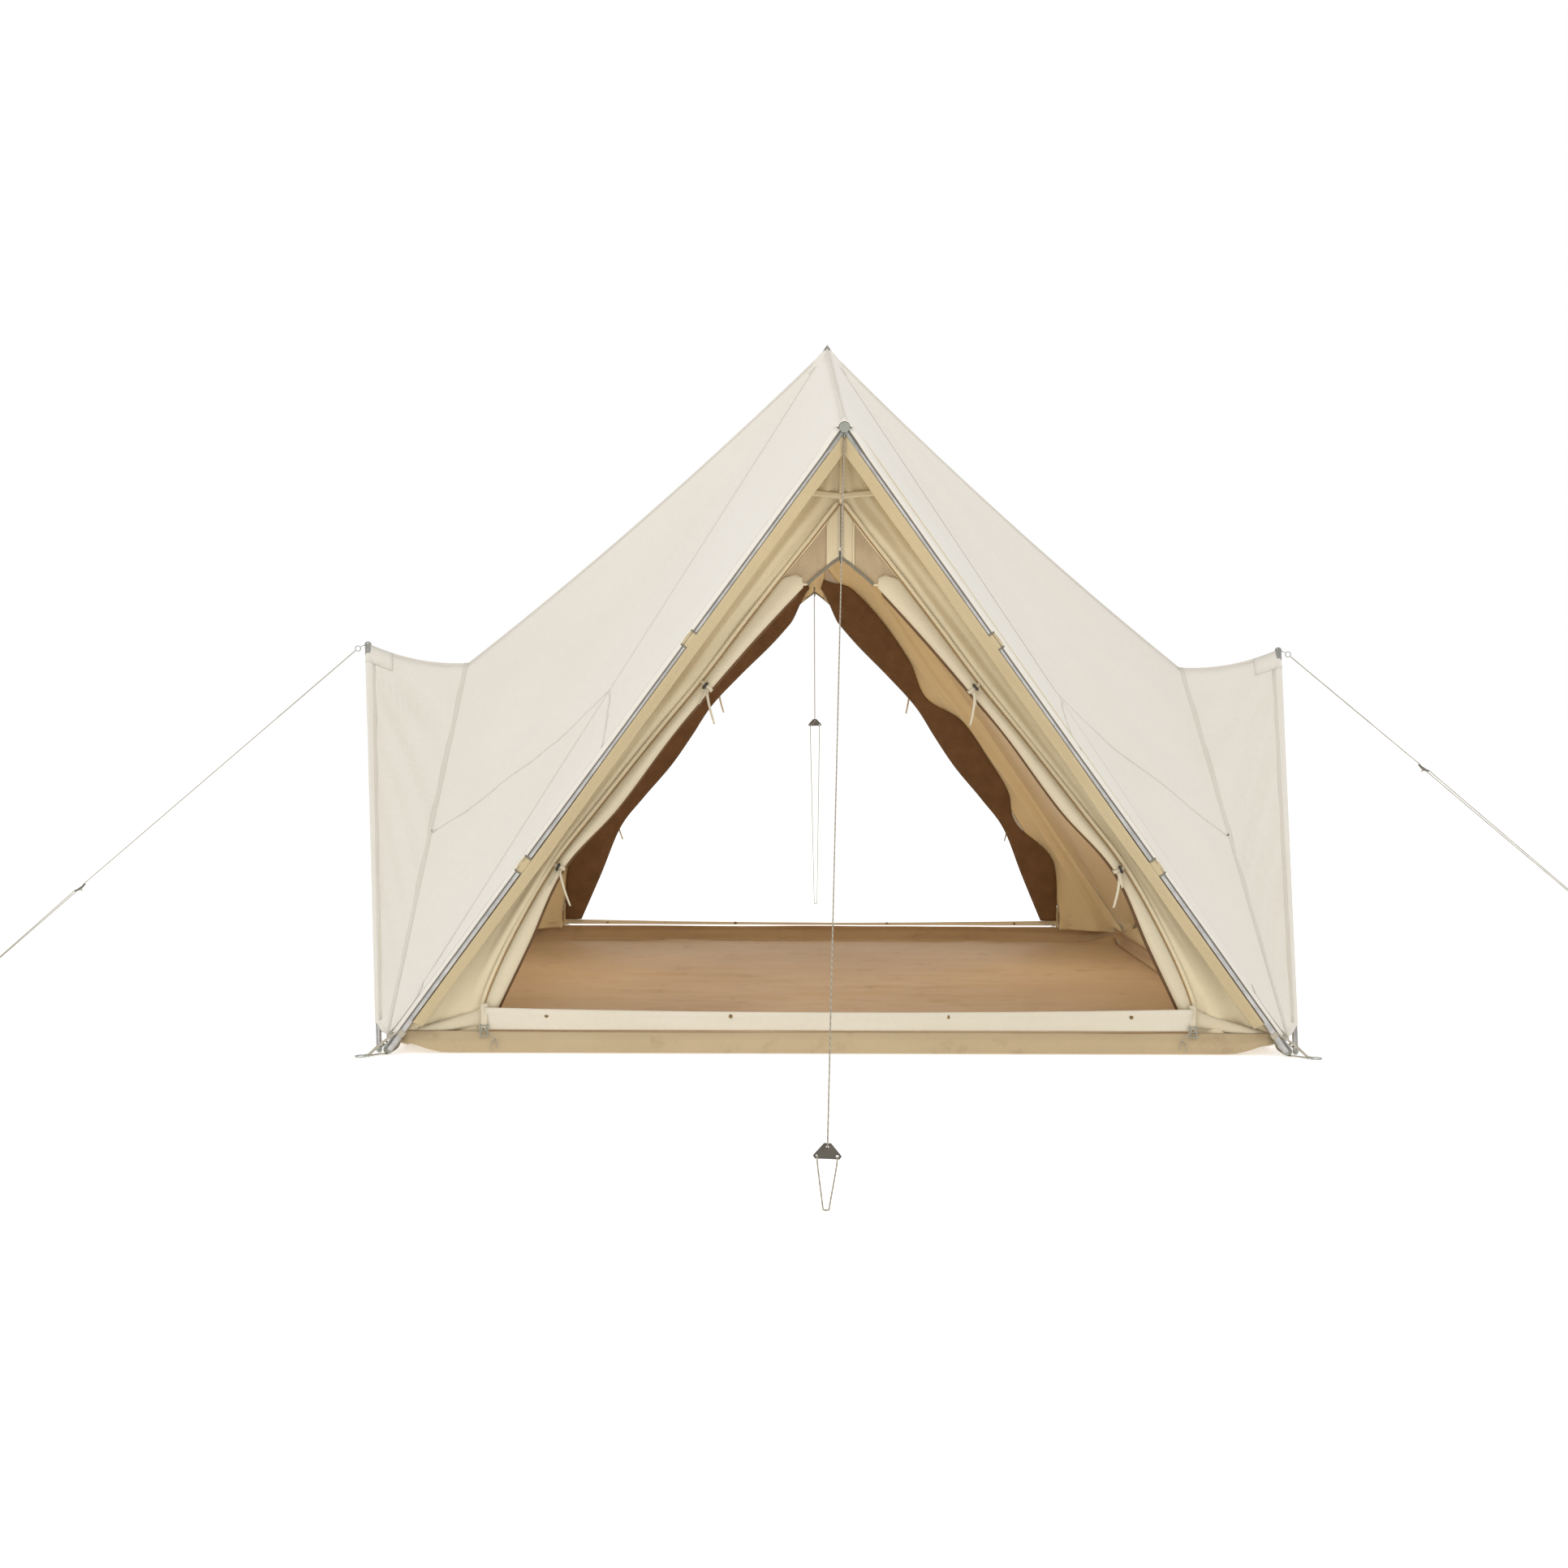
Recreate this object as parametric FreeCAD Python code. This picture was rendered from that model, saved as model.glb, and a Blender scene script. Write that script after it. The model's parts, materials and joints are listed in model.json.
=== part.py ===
import FreeCAD, Part
import math
import os

# Four-person canvas bell tent on two A-frames, with outward side wings, rolled doors,
# a tub groundsheet and four guy lines.  Millimetres, +Z up, front towards -Y.
# Every corner piece is built once for the front right quarter and mirrored.

V = FreeCAD.Vector

# ---- overall sizes
FLOOR_X = 3050.0
FLOOR_Y = 3000.0
FOOT_X = FLOOR_X / 2 + 40.0         # leg foot
HUB_Y = 1500.0            # A-frame plane from the centre
HUB_Z = 2166.0            # where the two legs of an A-frame meet
FOOT_Y = 1530.0
PEAK_Z = 2690.0           # canopy peak under its cap
VALLEY_X = FLOOR_X / 2 - 25.0         # where a wing ridge meets the roof
VALLEY_Z = 1365.0
APEX_X = FLOOR_X / 2 + 395.0           # side apex, the outer top corner of a wing
APEX_Z = 1440.0

# ---- tubes
LEG_R = 16.0
LEG_WALL = 1.5
LEG_JOINT = 520.0         # length of the lower section
JOINT_INSERT = 70.0
SPINE_R = 12.5
SIDE_R = 10.0
SIDE_WALL_T = 1.2
SIDE_FOOT = V(FLOOR_X / 2 + 75.0, -1505.0, 10.0)
SLEEVE_START = 95.0       # bare length at the bottom of a side pole
SLEEVE_T = 2.5
POLE_CLEAR = 15.4         # canvas edge from the side pole's axis

# ---- sheets
CANVAS_T = 2.0
GROUND_T = 2.5
TUB_H = 75.0              # groundsheet wall
SILL_H = 82.0             # pale band above it in the front doorway
SILL_REAR_H = 30.0        # the same band behind, folded down
SILL_HALF = 1232.0
SILL_SAG = 12.0
STUDS = (-1020.0, -380.0, 380.0, 1020.0)
STUD_R = 7.0
ROOF_OFF = LEG_R + 6.0           # outer canvas face from the leg axis
ROOF_SAG = 36.0           # hollow of the line from peak to valley
WING_SAG = 14.0
HEM_Z = 50.0              # lowest edge of the canopy at the corners
RIDGE_GAP = 4.0
SEAM_GAP = 3.5
GABLE_FOOT_Y = 1492.0     # gable wall plane at the ground
GABLE_LEAN = 240.0 / 2250.0
GABLE_LOW = 78.0
GABLE_TOP = 2218.0
GABLE_GAP = 6.0
ROLL_GAP = 12.0           # gable edge from a rolled door

# ---- clearances
FIT = 0.25                # tube in a socket
TOUCH = 0.5
RUN = 0.4                 # moving piece round a fixed one

# ---- doorway edge, x and z on the gable plane, with the half width of the roll there
EDGE = ((14, 1712, 6), (110, 1600, 12), (265, 1440, 28), (460, 1262, 18), (600, 1085, 34),
        (790, 800, 36), (965, 630, 16), (1085, 370, 32), (1165, 195, 26))
TIES = (3, 6)
DOOR_FLAT = 0.62          # depth of a rolled door over its width
NET_FLAT = 0.40           # the same for a rolled net
NET_EDGE = ((14, 1712, 6), (120, 1580, 26), (260, 1420, 46), (495, 1180, 30), (610, 1020, 48),
            (780, 790, 58), (957, 567, 30), (1062, 345, 50), (1140, 165, 42))
WINDOW = ((46, 1872), (228, 1656), (92, 1668))

# ---- zip
ZIP_LOW = 1738.0
ZIP_TOP = 1945.0
ZIP_W = 7.0
ZIP_OFF = 5.0
SLIDER = (11.0, 7.0, 20.0)
PULL_L = 34.0

# ---- guy lines
CORD_R = 2.0
PLATE = (72.0, 44.0, 3.0)
HOLE_R = 4.0
PEG_R = 8.0
PEG_FRONT = V(-130.0, -3560.0, 0.0)
PEG_REAR = V(80.0, 3134.0, 0.0)
PEG_LEFT = V(-3600.0, 0.0, 0.0)
PEG_RIGHT = V(3700.0, 0.0, 0.0)
DOUBLE = {"front": 165.0, "rear": 1351.0, "left": 625.0, "right": 1490.0}

# ---- corner straps and peg rings
RING = V(1645.0, -1600.0, 4.9)
RING_IN = 15.5
RING_OUT = 20.5
RING_T = 4.0
BAR_REACH = 26.0          # strap bar from the ring's centre
BAR_R = 1.8
STRAP_W = 20.0
STRAP_T = 1.6

PARTS = {}


# ------------------------------------------------------------------ helpers
def unit(v):
    w = V(v)
    w.normalize()
    return w


def rod(a, b, r):
    return Part.makeCylinder(r, (b - a).Length, a, b - a)


def tube(a, b, r_out, r_in):
    over = unit(b - a) * 1.0
    return rod(a, b, r_out).cut(rod(a - over, b + over, r_in))


def plate(points, normal):
    wire = Part.makePolygon(list(points) + [points[0]])
    return Part.Face(wire).extrude(normal)


def patch(grid, normal):
    surface = Part.BSplineSurface()
    surface.interpolate(grid)
    return surface.toShape().extrude(normal)


def block(centre, along, across, normal, size):
    a, c, n = unit(along) * (size[0] / 2), unit(across) * (size[1] / 2), unit(normal) * size[2]
    low = centre - n * 0.5
    return plate([low - a - c, low + a - c, low + a + c, low - a + c], n)


def quarter(shape, sx, sy):
    out = shape.copy()
    if sx < 0:
        out = out.mirror(V(0, 0, 0), V(1, 0, 0))
    if sy > 0:
        out = out.mirror(V(0, 0, 0), V(0, 1, 0))
    return out


def four(shape):
    return [quarter(shape, sx, sy) for sx in (-1, 1) for sy in (-1, 1)]


def front_back(shape):
    return [shape.copy(), quarter(shape, 1, 1)]


def put(name, *shapes):
    solids = []
    for shape in shapes:
        solids += shape.Solids
    PARTS[name] = solids[0] if len(solids) == 1 else Part.makeCompound(solids)


def put_corners(stem, shape):
    for sx, side in ((-1, "left"), (1, "right")):
        for sy, end in ((-1, "front"), (1, "rear")):
            put("%s_%s_%s" % (stem, end, side), quarter(shape, sx, sy))


def fused(shapes):
    out = shapes[0]
    for shape in shapes[1:]:
        out = out.fuse(shape)
    return out.removeSplitter()


def mix(a, b, t):
    return a + (b - a) * t


def rounded(points, radii):
    # straight runs joined by tangent arcs; radii holds one value per inner point
    edges = []
    last = points[0]
    for i in range(1, len(points) - 1):
        back = unit(points[i - 1] - points[i])
        ahead = unit(points[i + 1] - points[i])
        turn = math.pi - back.getAngle(ahead)
        run = radii[i - 1] * math.tan(turn / 2)
        start, end = points[i] + back * run, points[i] + ahead * run
        middle = points[i] + unit(back + ahead) * (radii[i - 1] / math.cos(turn / 2) - radii[i - 1])
        edges.append(Part.LineSegment(last, start).toShape())
        edges.append(Part.Arc(start, middle, end).toShape())
        last = end
    edges.append(Part.LineSegment(last, points[-1]).toShape())
    return Part.Wire(edges)


def cord(name, points, radii):
    wire = rounded(points, radii)
    ring = Part.Wire([Part.Circle(points[0], points[1] - points[0], CORD_R).toShape()])
    body = wire.makePipeShell([ring], True, False)
    put(name, body)
    want = math.pi * CORD_R ** 2 * wire.Length
    print("%s radius %.2f mm, length %.1f mm, volume over section x length %.4f"
          % (name, CORD_R, wire.Length, body.Volume / want))


# ------------------------------------------------------------------ shared points
HUB = V(0, -HUB_Y, HUB_Z)
FOOT = V(FOOT_X, -FOOT_Y, LEG_R)
LEG = unit(HUB - FOOT)
LEG_LEN = (HUB - FOOT).Length
CROWN = V(0, 0, PEAK_Z - 46)
SPINE = unit(CROWN - HUB)
PEAK = V(0, 0, PEAK_Z)
VALLEY = V(VALLEY_X, 0, VALLEY_Z)
APEX = V(APEX_X, 0, APEX_Z)
SIDE = unit(APEX - SIDE_FOOT)
ROOF_N = unit((FOOT - HUB).cross(V(0, HUB_Y, PEAK_Z - HUB_Z - 36)))
if ROOF_N.x < 0:
    ROOF_N = ROOF_N * -1
ROOF_FOOT = FOOT + ROOF_N * ROOF_OFF
ROOF_HUB = ROOF_FOOT + LEG * (-ROOF_FOOT.x / LEG.x)
ROOF_N = unit((ROOF_FOOT - ROOF_HUB).cross(PEAK - ROOF_HUB))
if ROOF_N.x < 0:
    ROOF_N = ROOF_N * -1
CORNER = V(1552, -1492, HEM_Z)


def on_gable(x, z, off=0.0):
    # off counts outwards from the canvas face of the front gable
    return V(x, -(GABLE_FOOT_Y - GABLE_LEAN * z) - off, z)


GABLE_N = unit(V(0, -1, -GABLE_LEAN))
GABLE_UP = unit(V(0, GABLE_LEAN, 1))


def side_line(t):
    # outer canvas edge from the side apex (0) down the pole to the sleeve's end, then in to the corner
    knee = 1 - SLEEVE_START / (APEX - SIDE_FOOT).Length
    if t <= knee:
        return mix(APEX, SIDE_FOOT, t)
    return mix(mix(APEX, SIDE_FOOT, knee), CORNER, (t - knee) / (1 - knee))


# ------------------------------------------------------------------ frame
def legs():
    joint = FOOT + LEG * LEG_JOINT
    put_corners("leg_lower", tube(FOOT + LEG * 3, joint, LEG_R, LEG_R - LEG_WALL))
    body = tube(joint + LEG * TOUCH, HUB - LEG * 40, LEG_R, LEG_R - LEG_WALL)
    inner = LEG_R - LEG_WALL - FIT
    insert = tube(joint - LEG * JOINT_INSERT, joint + LEG * 30, inner, inner - LEG_WALL)
    link = tube(joint + LEG * 5, joint + LEG * 25, LEG_R - 0.2, inner - 0.5)
    put_corners("leg_upper", fused([body, insert, link]))


def feet():
    ball = Part.makeSphere(LEG_R, FOOT)
    far = rod(FOOT + LEG * 2.5, FOOT + LEG * 60, 40)
    plug = rod(FOOT, FOOT + LEG * 40, LEG_R - LEG_WALL - FIT)
    leg_foot = fused([ball.cut(far), plug])
    small = Part.makeSphere(SIDE_R, SIDE_FOOT)
    small_far = rod(SIDE_FOOT + SIDE * 2.5, SIDE_FOOT + SIDE * 60, 30)
    pin = rod(SIDE_FOOT, SIDE_FOOT + SIDE * 35, SIDE_R - SIDE_WALL_T - FIT)
    side_foot = fused([small.cut(small_far), pin])
    put("pole_feet", *(four(leg_foot) + four(side_foot)))


def hubs():
    mirror_leg = V(-LEG.x, LEG.y, LEG.z)
    front = V(0, -HUB_Y - 24, HUB_Z)
    solid = [rod(front, V(0, -HUB_Y + 26, HUB_Z), 19), rod(HUB, HUB + SPINE * 80, 15.5)]
    bores = [rod(HUB + SPINE * 28, HUB + SPINE * 81, SPINE_R + FIT)]
    for way in (LEG, mirror_leg):
        solid.append(rod(HUB, HUB - way * 100, 18.5))
        bores.append(rod(HUB - way * 38, HUB - way * 101, LEG_R + FIT))
    eye = Part.makeTorus(8, 2.2, V(0, -HUB_Y - 17, HUB_Z - 28), V(1, 0, 0))
    body = fused(solid)
    for bore in bores:
        body = body.cut(bore)
    body = body.fuse(eye)
    put("hub_front", body)
    put("hub_rear", quarter(body, 1, 1))
    cap = Part.makeCylinder(18, 4, front, V(0, -1, 0))
    cap = cap.makeFillet(1.5, [cap.Edges[0]])
    put("hub_caps", *front_back(cap))


def spine():
    strut = tube(HUB + SPINE * 30, CROWN - SPINE * 34, SPINE_R, SPINE_R - LEG_WALL)
    put("ridge_struts", *front_back(strut))
    back = V(0, -SPINE.y, SPINE.z)
    body = fused([rod(CROWN, CROWN - SPINE * 110, 15.5), rod(CROWN, CROWN - back * 110, 15.5),
                  Part.makeSphere(19, CROWN)])
    for way in (SPINE, back):
        body = body.cut(rod(CROWN - way * 32, CROWN - way * 111, SPINE_R + FIT))
    put("ridge_crown", body)


def side_poles():
    pole = tube(SIDE_FOOT + SIDE * 3, APEX - SIDE * 26, SIDE_R, SIDE_R - SIDE_WALL_T)
    put("side_poles_left", quarter(pole, -1, -1), quarter(pole, -1, 1))
    put("side_poles_right", quarter(pole, 1, -1), quarter(pole, 1, 1))
    back = V(SIDE.x, -SIDE.y, SIDE.z)
    elbow = fused([rod(APEX, APEX - SIDE * 62, 12.8), rod(APEX, APEX - back * 62, 12.8),
                   Part.makeSphere(14.5, APEX)])
    for way in (SIDE, back):
        elbow = elbow.cut(rod(APEX - way * 24, APEX - way * 63, SIDE_R + FIT))
    put("side_elbows", elbow, quarter(elbow, -1, -1))


# ------------------------------------------------------------------ canopy
def roof():
    inward = ROOF_N * -CANVAS_T
    ridge_in = unit(ROOF_FOOT - (PEAK + ROOF_HUB) * 0.5)
    hip = unit(ROOF_FOOT - PEAK)
    hip_in = unit((ROOF_HUB - PEAK) - hip * hip.dot(ROOF_HUB - PEAK))
    low = (HEM_Z - PEAK.z) / (ROOF_FOOT.z - PEAK.z)
    low_front = (HEM_Z - ROOF_HUB.z) / (ROOF_FOOT.z - ROOF_HUB.z)
    top = 0.022
    corners = [mix(PEAK, ROOF_FOOT, top) + hip_in * SEAM_GAP,
               mix(PEAK, ROOF_FOOT, low) + hip_in * SEAM_GAP,
               mix(ROOF_HUB, ROOF_FOOT, low_front),
               ROOF_HUB + ridge_in * RIDGE_GAP,
               mix(PEAK, ROOF_HUB, top * 2) + ridge_in * RIDGE_GAP]
    front_panel = plate(corners, inward)

    grid = []
    rows, cols = 13, 9
    for i in range(rows):
        v = 0.03 + (0.985 - 0.03) * i / (rows - 1)
        a = mix(PEAK, ROOF_FOOT, v)
        b = mix(PEAK, VALLEY, v) - V(0, 0, 4 * ROOF_SAG * v * (1 - v))
        width = (b - a).Length
        u0, u1 = SEAM_GAP / width, 1 - RIDGE_GAP / width
        grid.append([mix(a, b, u0 + (u1 - u0) * j / (cols - 1)) for j in range(cols)])
    side_n = unit((ROOF_FOOT - PEAK).cross(VALLEY - PEAK))
    if side_n.x < 0:
        side_n = side_n * -1
    side_panel = patch(grid, side_n * -CANVAS_T)
    for sx, side in ((-1, "left"), (1, "right")):
        for sy, end in ((-1, "front"), (1, "rear")):
            put("roof_%s_%s" % (end, side), quarter(front_panel, sx, sy), quarter(side_panel, sx, sy))


def edge_inset(t, row, clear):
    # length along the row that keeps the edge this far from the pole's line
    line = unit(side_line(min(t + 0.01, 1)) - side_line(t - 0.01))
    return clear / max(unit(row).cross(line).Length, 0.35)


def wings():
    grid = []
    rows, cols = 15, 7
    for i in range(rows):
        t = i / (rows - 1.0)
        inner = mix(VALLEY, ROOF_FOOT, 0.985 * t)
        outer = side_line(t)
        width = (outer - inner).Length
        u0 = min(SEAM_GAP / width, 0.3)
        u1 = 1 - min(edge_inset(t, outer - inner, POLE_CLEAR) / width, 0.45)
        lift = V(0, 0, -WING_SAG * (1 - t) ** 2)
        back = V(0, -RIDGE_GAP * (1 - t), 0)
        row = []
        for j in range(cols):
            s = j / (cols - 1.0)
            row.append(mix(inner, outer, u0 + (u1 - u0) * s) + lift * (4 * s * (1 - s)) + back)
        grid.append(row)
    normal = unit((ROOF_FOOT - VALLEY).cross(APEX - VALLEY))
    if normal.y > 0:
        normal = normal * -1
    panel = patch(grid, normal * -CANVAS_T)
    r_in = SIDE_R + FIT
    sleeve = tube(SIDE_FOOT + SIDE * SLEEVE_START, APEX - SIDE * 66, r_in + SLEEVE_T, r_in)
    for sx, side in ((-1, "left"), (1, "right")):
        for sy, end in ((-1, "front"), (1, "rear")):
            put("wing_%s_%s" % (end, side), quarter(panel, sx, sy), quarter(sleeve, sx, sy))


def side_walls():
    grid = []
    rows, cols = 13, 9
    for i in range(rows):
        t = 0.035 + 0.965 * i / (rows - 1.0)
        edge = side_line(t)
        middle = APEX_X - (APEX_X - CORNER.x) * (APEX_Z - edge.z) / (APEX_Z - CORNER.z)
        reach = abs(edge.y) - min(edge_inset(t, V(0, 1, 0), POLE_CLEAR), abs(edge.y) * 0.75)
        row = []
        for j in range(cols):
            a = 2.0 * j / (cols - 1) - 1
            row.append(V(middle + (edge.x - middle) * a * a, a * reach, edge.z))
        grid.append(row)
    panel = patch(grid, V(-CANVAS_T, 0, 0))
    put("side_wall_left", quarter(panel, -1, -1))
    put("side_wall_right", panel)


def peak_cap():
    lift, thick = V(0, 0, 4), V(0, 0, 3)
    ridge = mix(PEAK, ROOF_HUB, 0.11)
    hip = mix(PEAK, ROOF_FOOT, 0.048)
    v = 0.058
    flank = mix(PEAK, VALLEY, v) - V(0, 0, 4 * ROOF_SAG * v * (1 - v))
    rim = [ridge, hip, flank]
    shapes = []
    for sx in (-1, 1):
        for sy in (-1, 1):
            for a, b in ((rim[0], rim[1]), (rim[1], rim[2])):
                tri = [PEAK + lift, a + lift, b + lift]
                face = plate(tri, thick)
                shapes.append(quarter(face, sx, sy))
    knob = Part.makeCylinder(20, 16, PEAK - V(0, 0, 8))
    put("peak_cap", fused(shapes + [knob.makeFillet(6, [knob.Edges[0]])]))


def pole_flaps():
    inward = unit(V(-LEG.z, 0, LEG.x))
    if inward.x > 0:
        inward = inward * -1
    normal = unit(LEG.cross(inward))
    near, far = LEG_R + 4.5, 74.0

    def reach(d):
        return (4 - FOOT.x - inward.x * d) / LEG.x

    base = FOOT - normal * 1.0
    flap = plate([base + LEG * 130 + inward * near, base + LEG * 130 + inward * far,
                  base + LEG * reach(far) + inward * far, base + LEG * reach(near) + inward * near],
                 normal * CANVAS_T)
    loops = []
    for at in (795.0, 1760.0):
        mid = FOOT + LEG * at
        loops.append(tube(mid - LEG * 24, mid + LEG * 24, LEG_R + 2.6, LEG_R + FIT))
    put("pole_flaps", *(four(flap) + [s for loop in loops for s in four(loop)]))


def gable_outline(edge):
    inner_face = ROOF_N.dot(ROOF_HUB) - CANVAS_T - GABLE_GAP

    def outer_x(z):
        p = on_gable(0, z)
        return (inner_face - ROOF_N.y * p.y - ROOF_N.z * p.z) / ROOF_N.x

    outer = [(outer_x(GABLE_TOP), GABLE_TOP), (outer_x(GABLE_LOW), GABLE_LOW)]
    inner = [(1262, GABLE_LOW)]
    for i in range(len(edge) - 1, 0, -1):
        centre, across = roll_station(edge, i)
        gap = edge[i][2] + ROLL_GAP
        inner.append((centre[0] + across[0] * gap, centre[1] + across[1] * gap))
    inner.append((10, 1735))
    inner.append((RIDGE_GAP, 1740))
    return outer + inner + [(RIDGE_GAP, GABLE_TOP)]


def roll_station(edge, i):
    # centre of the roll and the direction away from the doorway, on the gable plane
    x, z, half = edge[i]
    a, b = edge[max(i - 1, 0)], edge[min(i + 1, len(edge) - 1)]
    dx, dz = b[0] - a[0], b[1] - a[1]
    n = math.hypot(dx, dz)
    across = (-dz / n, dx / n)
    return (x + across[0] * half, z + across[1] * half), across


def roll(edge, flat):
    rings = []
    for i in range(len(edge)):
        centre, across = roll_station(edge, i)
        half = edge[i][2]
        mid = on_gable(centre[0], centre[1])
        side = unit(V(across[0], 0, 0) + GABLE_UP * across[1])
        axis = GABLE_N.cross(side)
        curve = Part.Ellipse(V(0, 0, 0), half, half * flat)
        place = FreeCAD.Placement(mid, FreeCAD.Rotation(side, GABLE_N, axis, "XYZ"))
        ring = curve.toShape()
        ring.Placement = place
        rings.append(Part.Wire([ring]))
    return Part.makeLoft(rings, True, True)


def gables():
    back = GABLE_N * -CANVAS_T
    window = plate([on_gable(x, z, 4) for x, z in WINDOW], GABLE_N * -10)
    halves = []
    for edge in (EDGE, NET_EDGE):
        outline = [on_gable(x, z) for x, z in gable_outline(edge)]
        halves.append(plate(outline, back).cut(window))
    cx = sum(p[0] for p in WINDOW) / 3.0
    cz = sum(p[1] for p in WINDOW) / 3.0
    small = [on_gable(cx + (x - cx) * 0.985, cz + (z - cz) * 0.985) for x, z in WINDOW]
    net = plate([p - GABLE_N * 0.5 for p in small], GABLE_N * -1.0)
    put("gable_front", quarter(halves[0], -1, -1), halves[0])
    put("gable_rear", quarter(halves[1], -1, 1), quarter(halves[1], 1, 1))
    put("mesh_windows", *four(net))


def doors():
    door = roll(EDGE, DOOR_FLAT)
    put("door_roll_left", quarter(door, -1, -1))
    put("door_roll_right", door)
    net = roll(NET_EDGE, NET_FLAT)
    put("net_rolls", quarter(net, 1, 1), quarter(net, -1, 1))


def ties():
    tapes, toggles = [], []
    for edge, flat, sy in ((EDGE, DOOR_FLAT, -1), (NET_EDGE, NET_FLAT, 1)):
        for i in TIES:
            centre, across = roll_station(edge, i)
            half = edge[i][2]
            side = unit(V(across[0], 0, 0) + GABLE_UP * across[1])
            axis = GABLE_N.cross(side)
            mid = on_gable(centre[0], centre[1])
            toggle_at = mid + side * (half - 6) + GABLE_N * (half * flat + 7)
            toggle = rod(toggle_at - axis * 11, toggle_at + axis * 11, 3.5)
            tail_at = mid - side * (half * 0.3) + GABLE_N * (half * flat + 6)
            tape = block(tail_at - V(0, 0, 62), V(0, 0, 1), V(1, 0, 0), V(0, 1, 0), (120, 10, 1.6))
            for sx in (-1, 1):
                toggles.append(quarter(toggle, sx, sy))
                tapes.append(quarter(tape, sx, sy))
    put("tie_tapes", *tapes)
    foot = on_gable(1215, 118, 10)
    toggles += four(block(foot, V(1, 0, 0), V(0, 0, 1), V(0, 1, 0), (24, 30, 5)))
    put("tie_toggles", *toggles)


# ------------------------------------------------------------------ zips
def zips():
    slope = GABLE_UP
    low, top = on_gable(0, ZIP_LOW, ZIP_OFF), on_gable(0, ZIP_TOP, ZIP_OFF)
    chain = block((low + top) * 0.5, slope, V(1, 0, 0), GABLE_N, ((top - low).Length, ZIP_W, 1.6))
    put("zip_chains", *front_back(chain))
    mid = low + slope * (SLIDER[2] / 2 + 1)
    body = block(mid, slope, V(1, 0, 0), GABLE_N, (SLIDER[2], SLIDER[0], SLIDER[1]))
    slot = block(mid, slope, V(1, 0, 0), GABLE_N, (SLIDER[2] + 2, ZIP_W + 2 * RUN, 1.6 + 2 * RUN))
    pin_at = mid + GABLE_N * (SLIDER[1] / 2 + 2.6)
    pin = rod(pin_at - V(5, 0, 0), pin_at + V(5, 0, 0), 1.0)
    ears = []
    for sx in (-1, 1):
        ear_at = mid + GABLE_N * (SLIDER[1] / 2 + 1.8) + V(sx * 4.4, 0, 0)
        ears.append(block(ear_at, slope, V(1, 0, 0), GABLE_N, (4, 1.6, 4.4)))
    slider = fused([body.cut(slot), pin] + ears)
    put("zip_slider_front", slider)
    put("zip_slider_rear", quarter(slider, 1, 1))
    eye = rod(pin_at - V(3, 0, 0), pin_at + V(3, 0, 0), 2.2)
    tab = block(pin_at - V(0, 0, PULL_L / 2), V(0, 0, 1), V(1, 0, 0), V(0, 1, 0), (PULL_L, 6, 1.6))
    pull = fused([eye, tab]).cut(rod(pin_at - V(4, 0, 0), pin_at + V(4, 0, 0), 1.0 + RUN))
    put("zip_pull_front", pull)
    put("zip_pull_rear", quarter(pull, 1, 1))
    print("front pull pin at", pin_at, "slope", slope)


# ------------------------------------------------------------------ floor
def sill_band(y, high):
    top, low = TUB_H + high, TUB_H + 0.2
    a, b = V(-SILL_HALF, y, top), V(SILL_HALF, y, top)
    c, d = V(SILL_HALF, y, low), V(-SILL_HALF, y, low)
    edges = [Part.Arc(a, V(0, y, top - SILL_SAG), b).toShape()]
    for p, q in ((b, c), (c, d), (d, a)):
        edges.append(Part.LineSegment(p, q).toShape())
    return Part.Face(Part.Wire(edges)).extrude(V(0, GROUND_T, 0))


def floor():
    hx, hy = FLOOR_X / 2, FLOOR_Y / 2
    outer = Part.makeBox(FLOOR_X, FLOOR_Y, TUB_H, V(-hx, -hy, 0))
    t = GROUND_T
    inner = Part.makeBox(FLOOR_X - 2 * t, FLOOR_Y - 2 * t, TUB_H, V(-hx + t, -hy + t, t))
    put("groundsheet", outer.cut(inner))
    front = sill_band(-hy, SILL_H)
    rear = quarter(sill_band(-hy, SILL_REAR_H), 1, 1)
    put("sill_bands", front, rear)
    studs = []
    for x in STUDS:
        for way, high in ((-1, SILL_H), (1, SILL_REAR_H)):
            foot = V(x, way * hy, TUB_H + high * 0.5 - 1)
            stud = Part.makeCylinder(STUD_R, 3, foot, V(0, way, 0))
            studs.append(stud.makeFillet(1, [stud.Edges[0]]))
    put("press_studs", *studs)


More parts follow.
